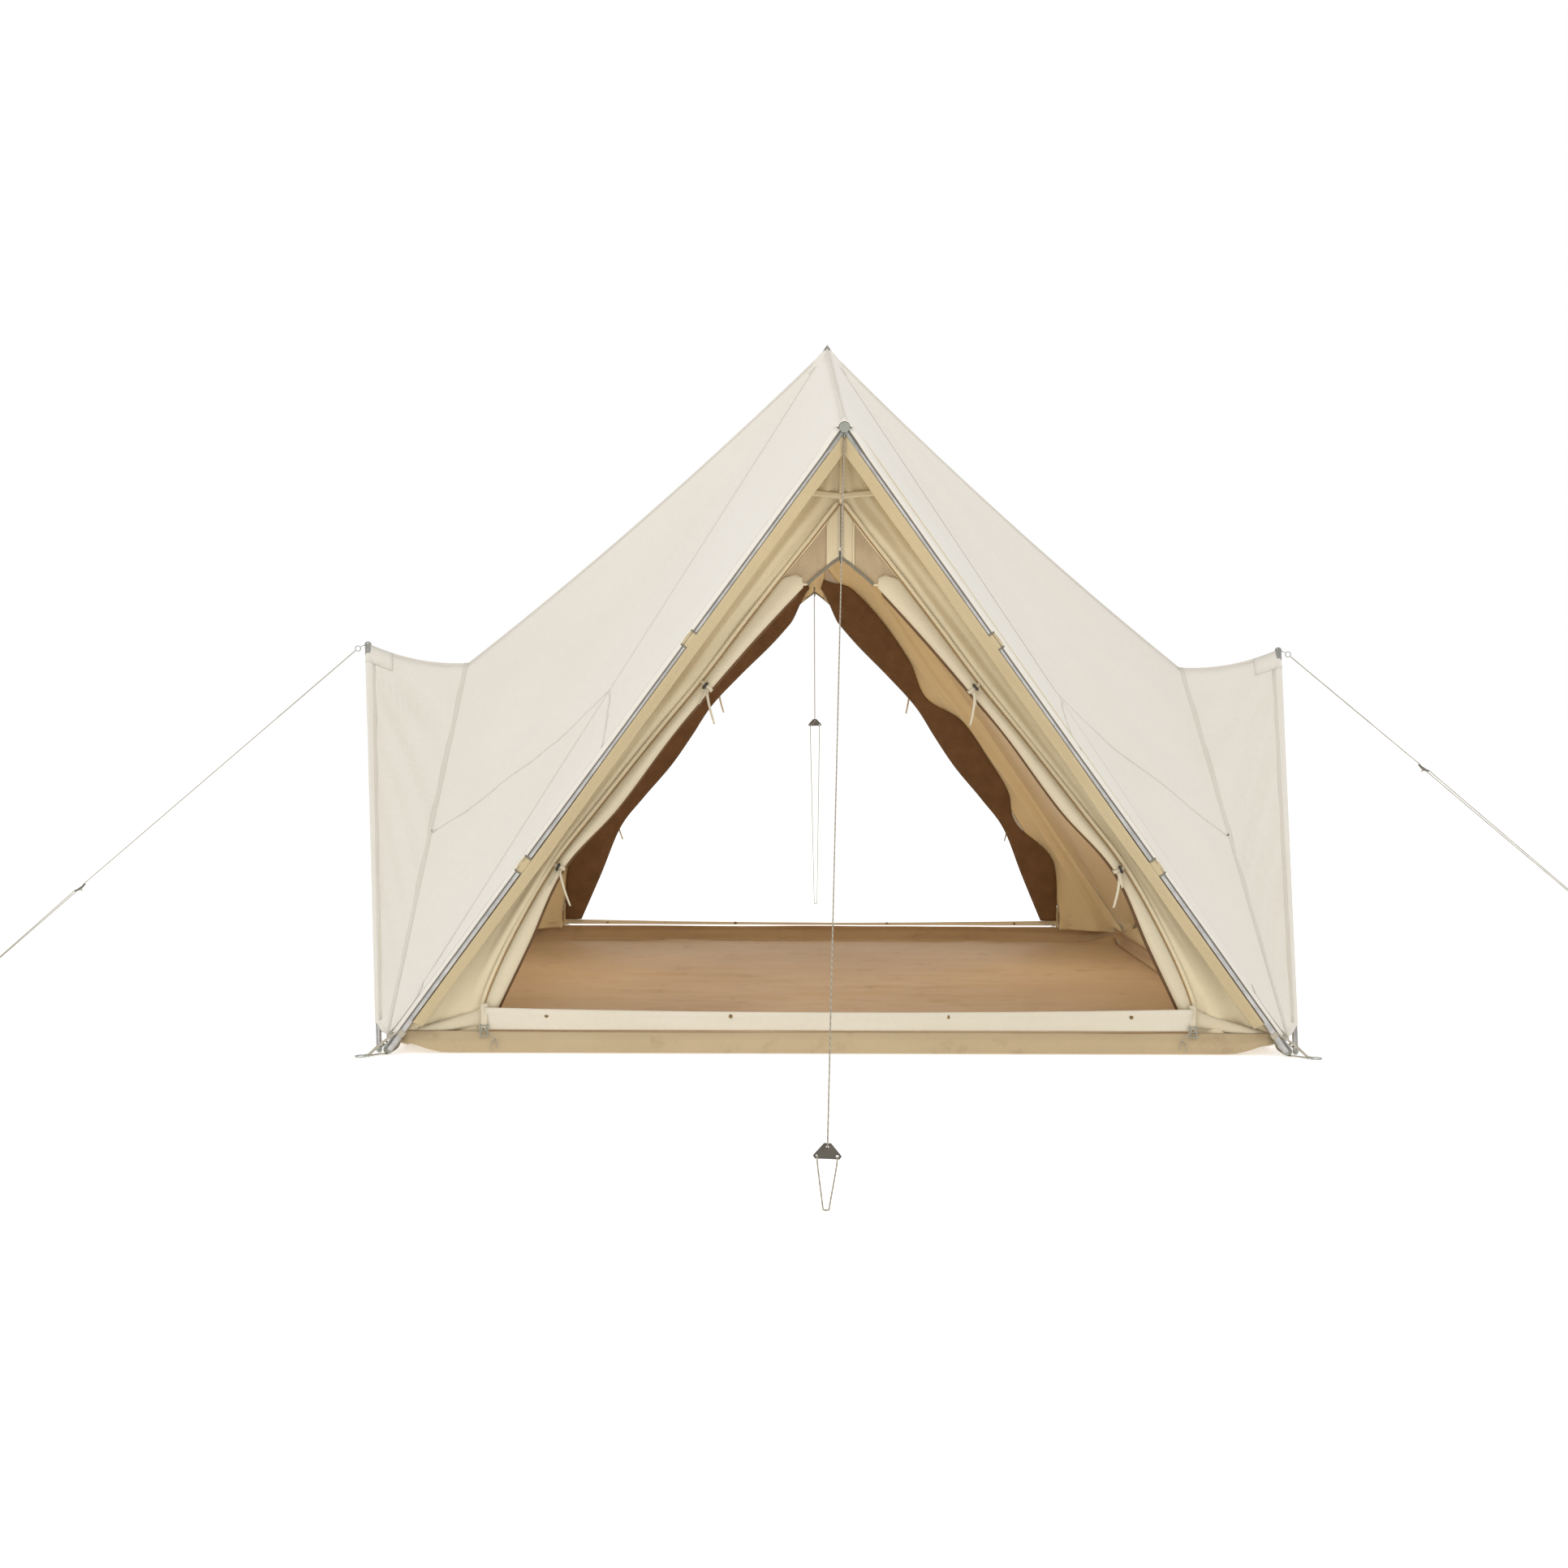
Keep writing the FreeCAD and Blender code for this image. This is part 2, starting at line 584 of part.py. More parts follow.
# ------------------------------------------------------------------ corners
def corners():
    out = unit(V(RING.x - FOOT.x, RING.y - FOOT.y, 0))
    across = V(-out.y, out.x, 0)
    hinge = RING - out * BAR_REACH
    loop = tube(hinge - across * 10, hinge + across * 10, BAR_R + 1.9, BAR_R + RUN)
    collar_at = FOOT + LEG * 75
    collar = tube(collar_at - LEG * 10, collar_at + LEG * 10, LEG_R + 2.2, LEG_R + FIT)
    start = collar_at + out * (LEG_R + 12) - V(0, 0, 6)
    end = hinge - out * 2.8
    run = unit(end - start)
    lift = unit(across.cross(run))
    strap = block((start + end) * 0.5, run, across, lift, ((end - start).Length, STRAP_W, STRAP_T))
    neck = block(collar_at + out * (LEG_R + 8) - V(0, 0, 4), out, across, V(0, 0, 1), (16, STRAP_W, 5))
    around = Part.makeCylinder(BAR_R + 1.2, 60, hinge - across * 30, across)
    clear = Part.makeBox(400, 400, 40, V(1400, -1800, -40))
    body = fused([strap.cut(around), neck, loop, collar]).cut(clear)
    body = body.cut(rod(collar_at - LEG * 40, collar_at + LEG * 40, LEG_R + FIT))
    ring = Part.makeCylinder(RING_OUT, RING_T, RING - V(0, 0, RING_T / 2))
    lug = block(hinge + out * 5, out, across, V(0, 0, 1), (13, 3, 3.2))
    ring = fused([ring, lug.translated(across * 12), lug.translated(across * -12),
                  rod(hinge - across * 13, hinge + across * 13, BAR_R)])
    ring = ring.cut(Part.makeCylinder(RING_IN, RING_T + 2, RING - V(0, 0, RING_T / 2 + 1)))
    put("corner_straps", *four(body))
    put_corners("peg_ring", ring)
    mid = mix(start, end, 0.45)
    height = STRAP_T / 2 + 0.3 + 2
    frame = block(mid + lift * height, run, across, lift, (34, 30, 4))
    for k in (-8, 8):
        frame = frame.cut(block(mid + lift * height + run * k, run, across, lift, (9, 22, 8)))
    put("corner_buckles", *four(frame))
    print("ring hinge", hinge, "axis", V(out.y, -out.x, 0), "out", out)


def side_rings():
    ring_at = V(APEX_X + 42, 0, APEX_Z - 16)
    ring = Part.makeTorus(11, 1.8, ring_at, V(0, 1, 0))
    strap = block(V(APEX_X + 22, 0, APEX_Z - 5), V(18, 0, -6), V(0, 1, 0), V(6, 0, 18), (15, 18, 2))
    body = fused([ring, strap])
    put("side_rings", body, quarter(body, -1, -1))
    return ring_at


# ------------------------------------------------------------------ guy lines
def guy(name, anchor, peg, double, across):
    # across lies along the plate's base; the plate's holes run along its normal
    ground = V(peg.x, peg.y, CORD_R + 1.0)
    down = unit(ground - anchor)
    across = unit(across - down * across.dot(down))
    normal = unit(down.cross(across))
    if normal.z < 0:
        normal = normal * -1
    centre = ground - down * double
    half_w, high, thick = PLATE[0] / 2, PLATE[1], PLATE[2]
    top = centre - down * (high * 0.5)
    base = centre + down * (high * 0.5)
    low = normal * (thick / 2)
    corners_at = [top - across * 9, base - across * half_w - down * 8, base - across * (half_w - 5),
                  base + across * (half_w - 5), base + across * half_w - down * 8, top + across * 9]
    body = plate([p - low for p in corners_at], normal * thick)
    holes = [top + down * 10, base - across * (half_w - 11) - down * 8,
             base + across * (half_w - 11) - down * 8]
    for h in holes:
        body = body.cut(rod(h - normal * 6, h + normal * 6, HOLE_R))
    put("tensioner_" + name, body)

    off = normal * 5.2
    bend = 3.0
    far_l = ground - across * PEG_R - down * 10
    far_r = ground + across * PEG_R - down * 10
    tip_l = ground - across * PEG_R
    tip_r = ground + across * PEG_R
    level = V(0, 0, 0)
    points = [anchor, holes[0] + off, holes[0] - off, holes[1] - off, holes[1] + off,
              far_l + level, tip_l, tip_r, far_r + level, holes[2] + off, holes[2] - off * 2.2]
    radii = [bend, bend, bend, bend, 8.0, PEG_R - 0.6, PEG_R - 0.6, 8.0, bend]
    cord("guy_" + name, points, radii)
    print(name, "slide axis", V(0, 0, 0) - down, "double", double)


def guys():
    guy("front", V(0, -HUB_Y - 24, HUB_Z - 40), PEG_FRONT, DOUBLE["front"], V(1, 0, 0))
    guy("rear", V(0, HUB_Y + 24, HUB_Z - 40), PEG_REAR, DOUBLE["rear"], V(1, 0, 0))
    ring_x, ring_z = APEX_X + 42, APEX_Z - 16
    guy("left", V(-ring_x - 11, 0, ring_z - 9), PEG_LEFT, DOUBLE["left"], V(0, 1, 0))
    guy("right", V(ring_x + 11, 0, ring_z - 9), PEG_RIGHT, DOUBLE["right"], V(0, 1, 0))


def build():
    legs()
    feet()
    hubs()
    spine()
    side_poles()
    roof()
    wings()
    side_walls()
    peak_cap()
    pole_flaps()
    gables()
    doors()
    ties()
    zips()
    floor()
    corners()
    side_rings()
    guys()
    os.makedirs("parts", exist_ok=True)
    for name, shape in PARTS.items():
        shape.exportStep("parts/%s.step" % name)
    print(len(PARTS), "nodes")


build()
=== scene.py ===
import json
import math

import bmesh
import bpy
from mathutils import Matrix, Vector, noise


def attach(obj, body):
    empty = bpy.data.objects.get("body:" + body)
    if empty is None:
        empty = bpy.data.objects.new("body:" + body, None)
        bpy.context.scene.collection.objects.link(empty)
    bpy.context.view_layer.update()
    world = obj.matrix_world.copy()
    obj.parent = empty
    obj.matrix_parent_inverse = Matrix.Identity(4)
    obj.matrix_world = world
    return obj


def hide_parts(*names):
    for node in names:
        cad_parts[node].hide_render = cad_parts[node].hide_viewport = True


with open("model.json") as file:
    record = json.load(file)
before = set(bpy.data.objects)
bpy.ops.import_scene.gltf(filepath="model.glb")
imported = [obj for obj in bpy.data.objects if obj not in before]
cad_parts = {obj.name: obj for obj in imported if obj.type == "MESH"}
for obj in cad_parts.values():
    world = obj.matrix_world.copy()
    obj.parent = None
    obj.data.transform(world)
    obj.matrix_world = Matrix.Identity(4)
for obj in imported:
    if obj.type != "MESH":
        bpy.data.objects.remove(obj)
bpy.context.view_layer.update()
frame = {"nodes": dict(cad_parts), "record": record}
BODY = "tent"

# Canvas bell tent.  Metres, +Z up, front towards -Y.  The canopy is one sewn sheet over an aluminium
# frame; the gable walls, door rolls, nets, tub floor, tapes and lines are separate pieces on it.

# ---- canopy corners, from the frame's own sizes
PEAK = Vector((0, 0, 2.690))
HUB = Vector((0, -1.500, 2.166))
FOOT = Vector((1.565, -1.530, 0.016))
VALLEY = Vector((1.500, 0, 1.365))
APEX = Vector((1.920, 0, 1.440))
SIDE_FOOT = Vector((1.600, -1.505, 0.010))
CORNER = Vector((1.552, -1.492, 0.050))
ROOF_OFF = 0.022          # canvas face from a leg's axis
ROOF_SAG = 0.036          # hollow from peak to valley
RIDGE_SAG = 0.012
BLUNT = 0.016             # how much lower the sewn crown sits than the panels' meeting point
WING_SAG = 0.026
SLEEVE_START = 0.095      # bare foot of a side pole
WRAP_R = 0.0128           # canvas round a side pole
CANVAS_T = 0.0012
FLOOR_X = 1.525
FLOOR_Y = 1.500
TUB_H = 0.075
LEG_R = 0.016

# ---- doorway on the gable plane: how far down, opening edge x, z, roll width, wall edge x, z
DOOR = ((0.000, 1.735), (0.048, 1.700), (0.128, 1.628), (0.288, 1.455), (0.455, 1.262), (0.592, 1.098),
        (0.778, 0.846), (0.966, 0.634), (1.085, 0.372), (1.176, 0.178), (1.212, 0.096))
WALL = ((0.004, 1.925), (0.100, 1.800), (0.212, 1.658), (0.345, 1.484), (0.490, 1.292), (0.656, 1.088),
        (0.850, 0.842), (0.998, 0.650), (1.140, 0.400), (1.234, 0.180), (1.242, 0.062))
TIE_AT = (4, 7)
NET_OUT = ((0.000, 1.722), (0.100, 1.600), (0.210, 1.475), (0.362, 1.325), (0.500, 1.177), (0.596, 1.030),
           (0.700, 0.880), (0.840, 0.716), (0.950, 0.572), (1.046, 0.340), (1.146, 0.110))
NET_IN = ((0.040, 1.850), (0.165, 1.765), (0.330, 1.595), (0.468, 1.400), (0.553, 1.222), (0.728, 1.112),
          (0.862, 0.930), (0.968, 0.760), (1.010, 0.603), (1.200, 0.415), (1.226, 0.110))
LEAN = 0.24 / 2.25
GABLE_Y = 1.492


# ------------------------------------------------------------------ small helpers
def mix(a, b, t):
    return a + (b - a) * t


def smooth(t):
    t = min(max(t, 0.0), 1.0)
    return t * t * (3 - 2 * t)


def wave(*at, seed=0.0):
    # smooth deterministic noise, -1 to 1
    x, y, z = (tuple(at) + (0.0, 0.0))[:3]
    return noise.noise(Vector((x + seed * 17.3, y - seed * 9.1, z + seed * 5.7)))


def through(points, t):
    # a smooth curve through the points, t from 0 to 1
    at = min(max(t, 0.0), 1.0) * (len(points) - 1)
    i = min(int(at), len(points) - 2)
    f = at - i
    p = [Vector(points[min(max(i + k, 0), len(points) - 1)]) for k in (-1, 0, 1, 2)]
    a = (p[2] - p[0]) * 0.5
    b = (p[3] - p[1]) * 0.5
    return (p[1] * (2 * f ** 3 - 3 * f * f + 1) + a * (f ** 3 - 2 * f * f + f)
            + p[2] * (3 * f * f - 2 * f ** 3) + b * (f ** 3 - f * f))


def on_gable(x, z, off=0.0, end=-1):
    # a point on the gable wall; off counts outwards, end is -1 in front and 1 behind
    return Vector((x, end * (GABLE_Y - LEAN * z + off), z))


ROOF_N = (FOOT - HUB).cross(Vector((0, 1.5, PEAK.z - HUB.z - 0.036))).normalized()
if ROOF_N.x < 0:
    ROOF_N.negate()
LEG = (HUB - FOOT).normalized()
ROOF_FOOT = FOOT + ROOF_N * ROOF_OFF
ROOF_HUB = ROOF_FOOT + LEG * (-ROOF_FOOT.x / LEG.x)
HEM = mix(PEAK, ROOF_FOOT, (PEAK.z - CORNER.z) / (PEAK.z - ROOF_FOOT.z))
WING_N = (HEM - VALLEY).cross(APEX - VALLEY).normalized()
if WING_N.y > 0:
    WING_N.negate()
SIDE_N = (HEM - PEAK).cross(VALLEY - PEAK).normalized()
if SIDE_N.x < 0:
    SIDE_N.negate()


# ------------------------------------------------------------------ materials
def linear(code):
    # sRGB hex to linear colour
    parts = [int(code[i:i + 2], 16) / 255 for i in (1, 3, 5)]
    return [c / 12.92 if c <= 0.04045 else ((c + 0.055) / 1.055) ** 2.4 for c in parts] + [1.0]


def add(tree, kind, inputs=None, **settings):
    made = tree.nodes.new("ShaderNode" + kind)
    for key, value in settings.items():
        setattr(made, key, value)
    for socket, value in (inputs or {}).items():
        if isinstance(value, bpy.types.NodeSocket):
            tree.links.new(value, made.inputs[socket])
        else:
            made.inputs[socket].default_value = value
    return made


def finish_named(name, **uniform):
    # a new material with its shader; uniform numbers go on the shader's own sockets
    made = bpy.data.materials.new(name)
    made.use_nodes = True
    shader = made.node_tree.nodes["Principled BSDF"]
    for socket, value in uniform.items():
        shader.inputs[socket.replace("_", " ")].default_value = value
    return made, made.node_tree, shader


def woven(name, colour, shade, pitch=0.0042, weave=0.35, sheen=0.25, dirt=None, rough=0.86):
    # Woven cotton: two sets of threads over and under each other, dull, with a faint nap and slow
    # broad patches of painted shade, blended towards the darker shade colour.  Threads are 0.7 mm apart;
    # drawn every few mm to show.
    made, tree, shader = finish_named(name, Sheen_Weight=sheen, Sheen_Roughness=0.6, Specular_IOR_Level=0.3)
    where = add(tree, "TexCoord")
    flat = add(tree, "Mapping", {"Vector": where.outputs["UV"]})
    turn = 0.5 / pitch
    warp = add(tree, "TexWave", {"Vector": flat.outputs[0], "Scale": turn / 3.14, "Distortion": 0.4,
                                 "Detail": 1.0}, bands_direction="X")
    weft = add(tree, "TexWave", {"Vector": flat.outputs[0], "Scale": turn / 3.14, "Distortion": 0.4,
                                 "Detail": 1.0}, bands_direction="Y")
    threads = add(tree, "Math", {0: warp.outputs["Fac"], 1: weft.outputs["Fac"]}, operation="ADD")
    broad = add(tree, "TexNoise", {"Vector": where.outputs["Object"], "Scale": 1.6, "Detail": 5.0})
    fleck = add(tree, "TexNoise", {"Vector": where.outputs["Object"], "Scale": 45.0, "Detail": 3.0})
    # painted shade: broad noise blends the colour towards its darker shade colour in slow patches
    tone = add(tree, "MapRange", {"Value": broad.outputs["Fac"], "From Min": 0.25, "From Max": 0.8})
    base = add(tree, "Mix", {"Factor": tone.outputs[0], "A": linear(colour), "B": linear(shade)},
               data_type="RGBA")
    slub = add(tree, "MapRange", {"Value": fleck.outputs["Fac"], "From Min": 0.3, "From Max": 0.7,
                                  "To Min": 0.99, "To Max": 1.01})
    shown = add(tree, "VectorMath", {0: base.outputs["Result"], "Scale": slub.outputs[0]}, operation="SCALE")
    out = shown.outputs[0]
    if dirt:
        spots = add(tree, "TexNoise", {"Vector": where.outputs["Object"], "Scale": 7.0, "Detail": 8.0,
                                       "Roughness": 0.7})
        amount = add(tree, "MapRange", {"Value": spots.outputs["Fac"], "From Min": 0.56, "From Max": 0.76,
                                        "To Max": 0.55})
        soiled = add(tree, "Mix", {"Factor": amount.outputs[0], "A": out, "B": linear(dirt)},
                     data_type="RGBA")
        out = soiled.outputs["Result"]
    tree.links.new(out, shader.inputs["Base Color"])
    dull = add(tree, "MapRange",
               {"Value": fleck.outputs["Fac"], "To Min": rough - 0.06, "To Max": rough + 0.06})
    tree.links.new(dull.outputs[0], shader.inputs["Roughness"])
    raised = add(tree, "Bump", {"Height": threads.outputs[0], "Strength": weave, "Distance": 0.0006})
    slack = add(tree, "Bump", {"Height": broad.outputs["Fac"], "Strength": 0.15, "Distance": 0.006,
                               "Normal": raised.outputs[0]})
    tree.links.new(slack.outputs[0], shader.inputs["Normal"])
    return made


def netting(name, colour, shade, open_share):
    # Knitted insect net: 1.6 mm holes between matt threads, drawn 5 mm apart so that they show.
    made, tree, shader = finish_named(name, Roughness=0.9, Specular_IOR_Level=0.2)
    where = add(tree, "TexCoord")
    warp = add(tree, "TexWave", {"Vector": where.outputs["UV"], "Scale": 32.0, "Distortion": 0.6},
               bands_direction="X")
    weft = add(tree, "TexWave", {"Vector": where.outputs["UV"], "Scale": 32.0, "Distortion": 0.6},
               bands_direction="Y")
    thread = add(tree, "Math", {0: warp.outputs["Fac"], 1: weft.outputs["Fac"]}, operation="MAXIMUM")
    # painted shade: noise darkens the net in patches towards its shade colour, as in the shade of its folds
    folds = add(tree, "TexNoise", {"Vector": where.outputs["Object"], "Scale": 14.0, "Detail": 4.0})
    tone = add(tree, "Mix", {"Factor": folds.outputs["Fac"], "A": linear(colour), "B": linear(shade)},
               data_type="RGBA")
    tree.links.new(tone.outputs["Result"], shader.inputs["Base Color"])
    solid = add(tree, "MapRange", {"Value": thread.outputs[0], "From Min": 0.55, "From Max": 0.95,
                                   "To Min": 1.0 - open_share, "To Max": 1.0})
    tree.links.new(solid.outputs[0], shader.inputs["Alpha"])
    raised = add(tree, "Bump", {"Height": thread.outputs[0], "Strength": 0.4, "Distance": 0.0008})
    tree.links.new(raised.outputs[0], shader.inputs["Normal"])
    return made


def metal(name, colour, rough, streak, scale, along=(1.0, 1.0, 0.05)):
    # Drawn or pressed metal: fine lines along the work, duller where hands and sleeves rub it.
    made, tree, shader = finish_named(name, Metallic=1.0)
    where = add(tree, "TexCoord")
    flat = add(tree, "Mapping", {"Vector": where.outputs["Object"], "Scale": along})
    lines = add(tree, "TexNoise", {"Vector": flat.outputs[0], "Scale": scale, "Detail": 6.0})
    rub = add(tree, "TexNoise", {"Vector": where.outputs["Object"], "Scale": 22.0, "Detail": 4.0})
    tone = add(tree, "MapRange", {"Value": rub.outputs["Fac"], "From Min": 0.3, "From Max": 0.7})
    worn = [c * 0.72 for c in linear(colour)[:3]] + [1.0]
    base = add(tree, "Mix", {"Factor": tone.outputs[0], "A": linear(colour), "B": worn},
               data_type="RGBA")
    tree.links.new(base.outputs["Result"], shader.inputs["Base Color"])
    dull = add(tree, "MapRange",
               {"Value": lines.outputs["Fac"], "To Min": rough - 0.08, "To Max": rough + 0.12})
    tree.links.new(dull.outputs[0], shader.inputs["Roughness"])
    raised = add(tree, "Bump", {"Height": lines.outputs["Fac"], "Strength": streak, "Distance": 0.0003})
    tree.links.new(raised.outputs[0], shader.inputs["Normal"])
    return made


def moulded(name, colour, shade, rough):
    # Moulded nylon: an even satin with a fine spark-eroded grain (0.4 mm, drawn 1.5 mm).
    made, tree, shader = finish_named(name, IOR=1.53)
    where = add(tree, "TexCoord")
    grain = add(tree, "TexNoise", {"Vector": where.outputs["Object"], "Scale": 650.0, "Detail": 2.0})
    scuff = add(tree, "TexNoise", {"Vector": where.outputs["Object"], "Scale": 60.0, "Detail": 5.0})
    base = add(tree, "Mix", {"Factor": scuff.outputs["Fac"], "A": linear(colour), "B": linear(shade)},
               data_type="RGBA")
    tree.links.new(base.outputs["Result"], shader.inputs["Base Color"])
    dull = add(tree, "MapRange",
               {"Value": scuff.outputs["Fac"], "To Min": rough - 0.1, "To Max": rough + 0.15})
    tree.links.new(dull.outputs[0], shader.inputs["Roughness"])
    raised = add(tree, "Bump", {"Height": grain.outputs["Fac"], "Strength": 0.3, "Distance": 0.0003})
    tree.links.new(raised.outputs[0], shader.inputs["Normal"])
    return made


def twisted(name, colour, shade, pitch):
    # Braided polyester cord or webbing: slanting plaits 3 mm apart, dull with a slight shine on top.
    made, tree, shader = finish_named(name, Roughness=0.7, Sheen_Weight=0.2)
    where = add(tree, "TexCoord")
    flat = add(tree, "Mapping", {"Vector": where.outputs["Object"], "Rotation": (0.5, 0.6, 0.7)})
    plait = add(tree, "TexWave", {"Vector": flat.outputs[0], "Scale": 0.16 / pitch, "Distortion": 1.0})
    base = add(tree, "Mix", {"Factor": plait.outputs["Fac"], "A": linear(shade), "B": linear(colour)},
               data_type="RGBA")
    tree.links.new(base.outputs["Result"], shader.inputs["Base Color"])
    raised = add(tree, "Bump", {"Height": plait.outputs["Fac"], "Strength": 0.6, "Distance": 0.0005})
    tree.links.new(raised.outputs[0], shader.inputs["Normal"])
    return made


def coated_floor():
    # Coated polyester groundsheet: a fine taffeta with a dull rubbery film that creases when it is
    # folded; soil stays in its creases and along its foot, drawn here only as scattered random spots.
    return woven("coated_groundsheet_taffeta", "#C7AF90", "#B69B7A", pitch=0.003, weave=0.15, sheen=0.1,
                 dirt="#8E7353", rough=0.62)


CANVAS = woven("woven_cotton_canvas", "#EDE7DC", "#E9E2D5")
# painted light: the canopy's inner face is a yellower canvas colour standing for daylight glowing through the
# cloth
CANVAS_IN_GLOW = woven("canvas_inner_face_painted_glow", "#E6D6B6", "#DECCA9")
# painted light: the gable canvas is a warmer, yellower copy of the canvas, standing for daylight glowing
# through it
WALL_CLOTH_GLOW = woven("gable_canvas_painted_glow", "#E6D7B4", "#DFCEA8", pitch=0.0036)
ROLL_CLOTH = woven("rolled_door_cotton_canvas", "#DDD0B2", "#D5C7A8", pitch=0.0036)
# painted shade: a darker, more golden copy of the canvas for the flaps and loops in the leg's shade
FLAP_CLOTH_SHADED = woven("pole_flap_canvas_painted_shade", "#CDBB94", "#C4B088", pitch=0.0036)
SILL_CLOTH = woven("door_sill_cotton_twill", "#E4DBC8", "#DBD1BB", pitch=0.003)
SEAM_TAPE = woven("felled_seam_canvas", "#E4DDD0", "#DAD2C3", pitch=0.0024, weave=0.6)
SEAM_IN = woven("inner_seam_tape_cotton", "#AF8F62", "#A58557", pitch=0.0024, weave=0.6)
FLOOR_CLOTH = coated_floor()
TUB_CLOTH = woven("coated_tub_wall_taffeta", "#C6B18D", "#BAA47F", pitch=0.003, weave=0.2, sheen=0.1,
                  dirt="#93795A", rough=0.7)
# painted light: the window net is the lit copy of the brown net
NET_LIT = netting("insect_net_window_painted_lit", "#C9B596", "#B39D7D", 0.16)
# painted shade: the rolled nets are a dark shaded copy of the same brown net
NET_SHADED = netting("insect_net_rolled_painted_shade", "#7F6247", "#5E4630", 0.0)
# painted shadow: a grey-brown strip along the roof hem's edge stands for the tube's shade and dark reflection
HEM_SHADOW_LINE = woven("hem_edge_painted_shadow_line", "#7A7164", "#6A6256", pitch=0.002, weave=0.6)
# painted shade: darker strips at the keeper loops' ends and the doorway's top edge stand for the shade there
EDGE_SHADE_STRIP = woven("dark_edge_painted_shade", "#8B8471", "#7C735F", pitch=0.002, weave=0.6)
TAPE = woven("herringbone_cotton_tie_tape", "#E3D8BE", "#D6C8AA", pitch=0.002, weave=0.6)
WEBBING = twisted("polyester_strap_webbing", "#C9C0AB", "#A79E8A", 0.003)
CORD = twisted("braided_guy_cord", "#BAB19C", "#8F8775", 0.003)
TUBE = metal("anodised_aluminium_tube", "#C4C2BF", 0.32, 0.5, 300.0)
STEEL = metal("zinc_plated_steel_fitting", "#B7B6B0", 0.36, 0.4, 180.0, along=(1.0, 1.0, 1.0))
DARK_METAL = metal("gunmetal_pressed_plate", "#6C675E", 0.42, 0.5, 220.0, along=(1.0, 1.0, 1.0))
BRASS = metal("aged_brass_stud", "#8E774F", 0.38, 0.4, 300.0, along=(1.0, 1.0, 1.0))
PLASTIC = moulded("moulded_grey_nylon", "#A5A79B", "#8E9085", 0.5)
TOGGLE = moulded("moulded_dark_toggle_nylon", "#2E2722", "#3B332C", 0.45)
ZIP_TEETH = moulded("moulded_zip_coil", "#B3A487", "#9C8D70", 0.5)


# ------------------------------------------------------------------ building pieces
def object_from(bm, name, *finishes):
    mesh = bpy.data.meshes.new(name)
    bm.to_mesh(mesh)
    bm.free()
    for face in mesh.polygons:
        face.use_smooth = True
    made = bpy.data.objects.new(name, mesh)
    bpy.context.scene.collection.objects.link(made)
    for finish in finishes:
        mesh.materials.append(finish)
    return made


def lay_grid(bm, grid, flip=False, slot=0, start=0.0):
    # one cloth panel from rows of points, with a map of its real size in metres
    uv = bm.loops.layers.uv.verify()
    verts = [[bm.verts.new(p) for p in row] for row in grid]
    middle = len(grid[0]) // 2
    down = [start]
    for a, b in zip(grid, grid[1:]):
        down.append(down[-1] + (b[middle] - a[middle]).length)
    for i in range(len(grid) - 1):
        across = [0.0]
        for a, b in zip(grid[i], grid[i][1:]):
            across.append(across[-1] + (b - a).length)
        for j in range(len(grid[0]) - 1):
            corners = [(i, j), (i, j + 1), (i + 1, j + 1), (i + 1, j)]
            if flip:
                corners.reverse()
            face = bm.faces.new([verts[a][b] for a, b in corners])
            face.material_index = slot
            for loop, (a, b) in zip(face.loops, corners):
                loop[uv].uv = (across[b], down[a])
    return verts


def thicken(piece, amount, inner=0, offset=-1.0):
    solid = piece.modifiers.new("cloth_thickness", "SOLIDIFY")
    solid.thickness = amount
    solid.offset = offset
    solid.material_offset = inner
    return piece


def place(piece, slot, *nodes, body=BODY):
    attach(piece, body)
    if nodes:
        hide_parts(*nodes)
    return piece


def mirrored(points, sx, sy):
    return [[Vector((p.x * sx, p.y * -sy, p.z)) for p in row] for row in points]


def cloth(name, grids, slot, nodes, finishes, thick=CANVAS_T, inner=0, weld=0.00002, offset=-1.0):
    # grids: (rows of points, reversed order or not)
    bm = bmesh.new()
    for grid, flip in grids:
        lay_grid(bm, grid, flip)
    bmesh.ops.remove_doubles(bm, verts=bm.verts, dist=weld)
    piece = object_from(bm, name, *finishes)
    if thick:
        thicken(piece, thick, inner, offset)
    return place(piece, slot, *nodes)


def line(a, b, count):
    return [mix(a, b, i / (count - 1)) for i in range(count)]


def tube_along(path, radius, sides=8, flat=1.0, up=Vector((0, 0, 1))):
    # rings of points round a path, as rows for lay_grid
    rows = []
    for i, p in enumerate(path):
        a, b = path[max(i - 1, 0)], path[min(i + 1, len(path) - 1)]
        along = (b - a).normalized()
        side = along.cross(up)
        if side.length < 1e-4:
            side = along.cross(Vector((1, 0, 0)))
        side.normalize()
        top = side.cross(along)
        r = radius[i] if isinstance(radius, (list, tuple)) else radius
        ring = []
        for k in range(sides + 1):
            angle = 2 * math.pi * k / sides
            ring.append(p + side * math.cos(angle) * r + top * math.sin(angle) * r * flat)
        rows.append(ring)
    return rows


def solid_piece(name, grids, slot, nodes, finishes, body=BODY):
    # closed tubes and pads: open ends are filled
    bm = bmesh.new()
    for grid in grids:
        lay_grid(bm, grid)
    bmesh.ops.remove_doubles(bm, verts=bm.verts, dist=0.00001)
    edges = [e for e in bm.edges if e.is_boundary]
    bmesh.ops.holes_fill(bm, edges=edges, sides=0)
    bmesh.ops.recalc_face_normals(bm, faces=bm.faces)
    return place(object_from(bm, name, *finishes), slot, *nodes, body=body)


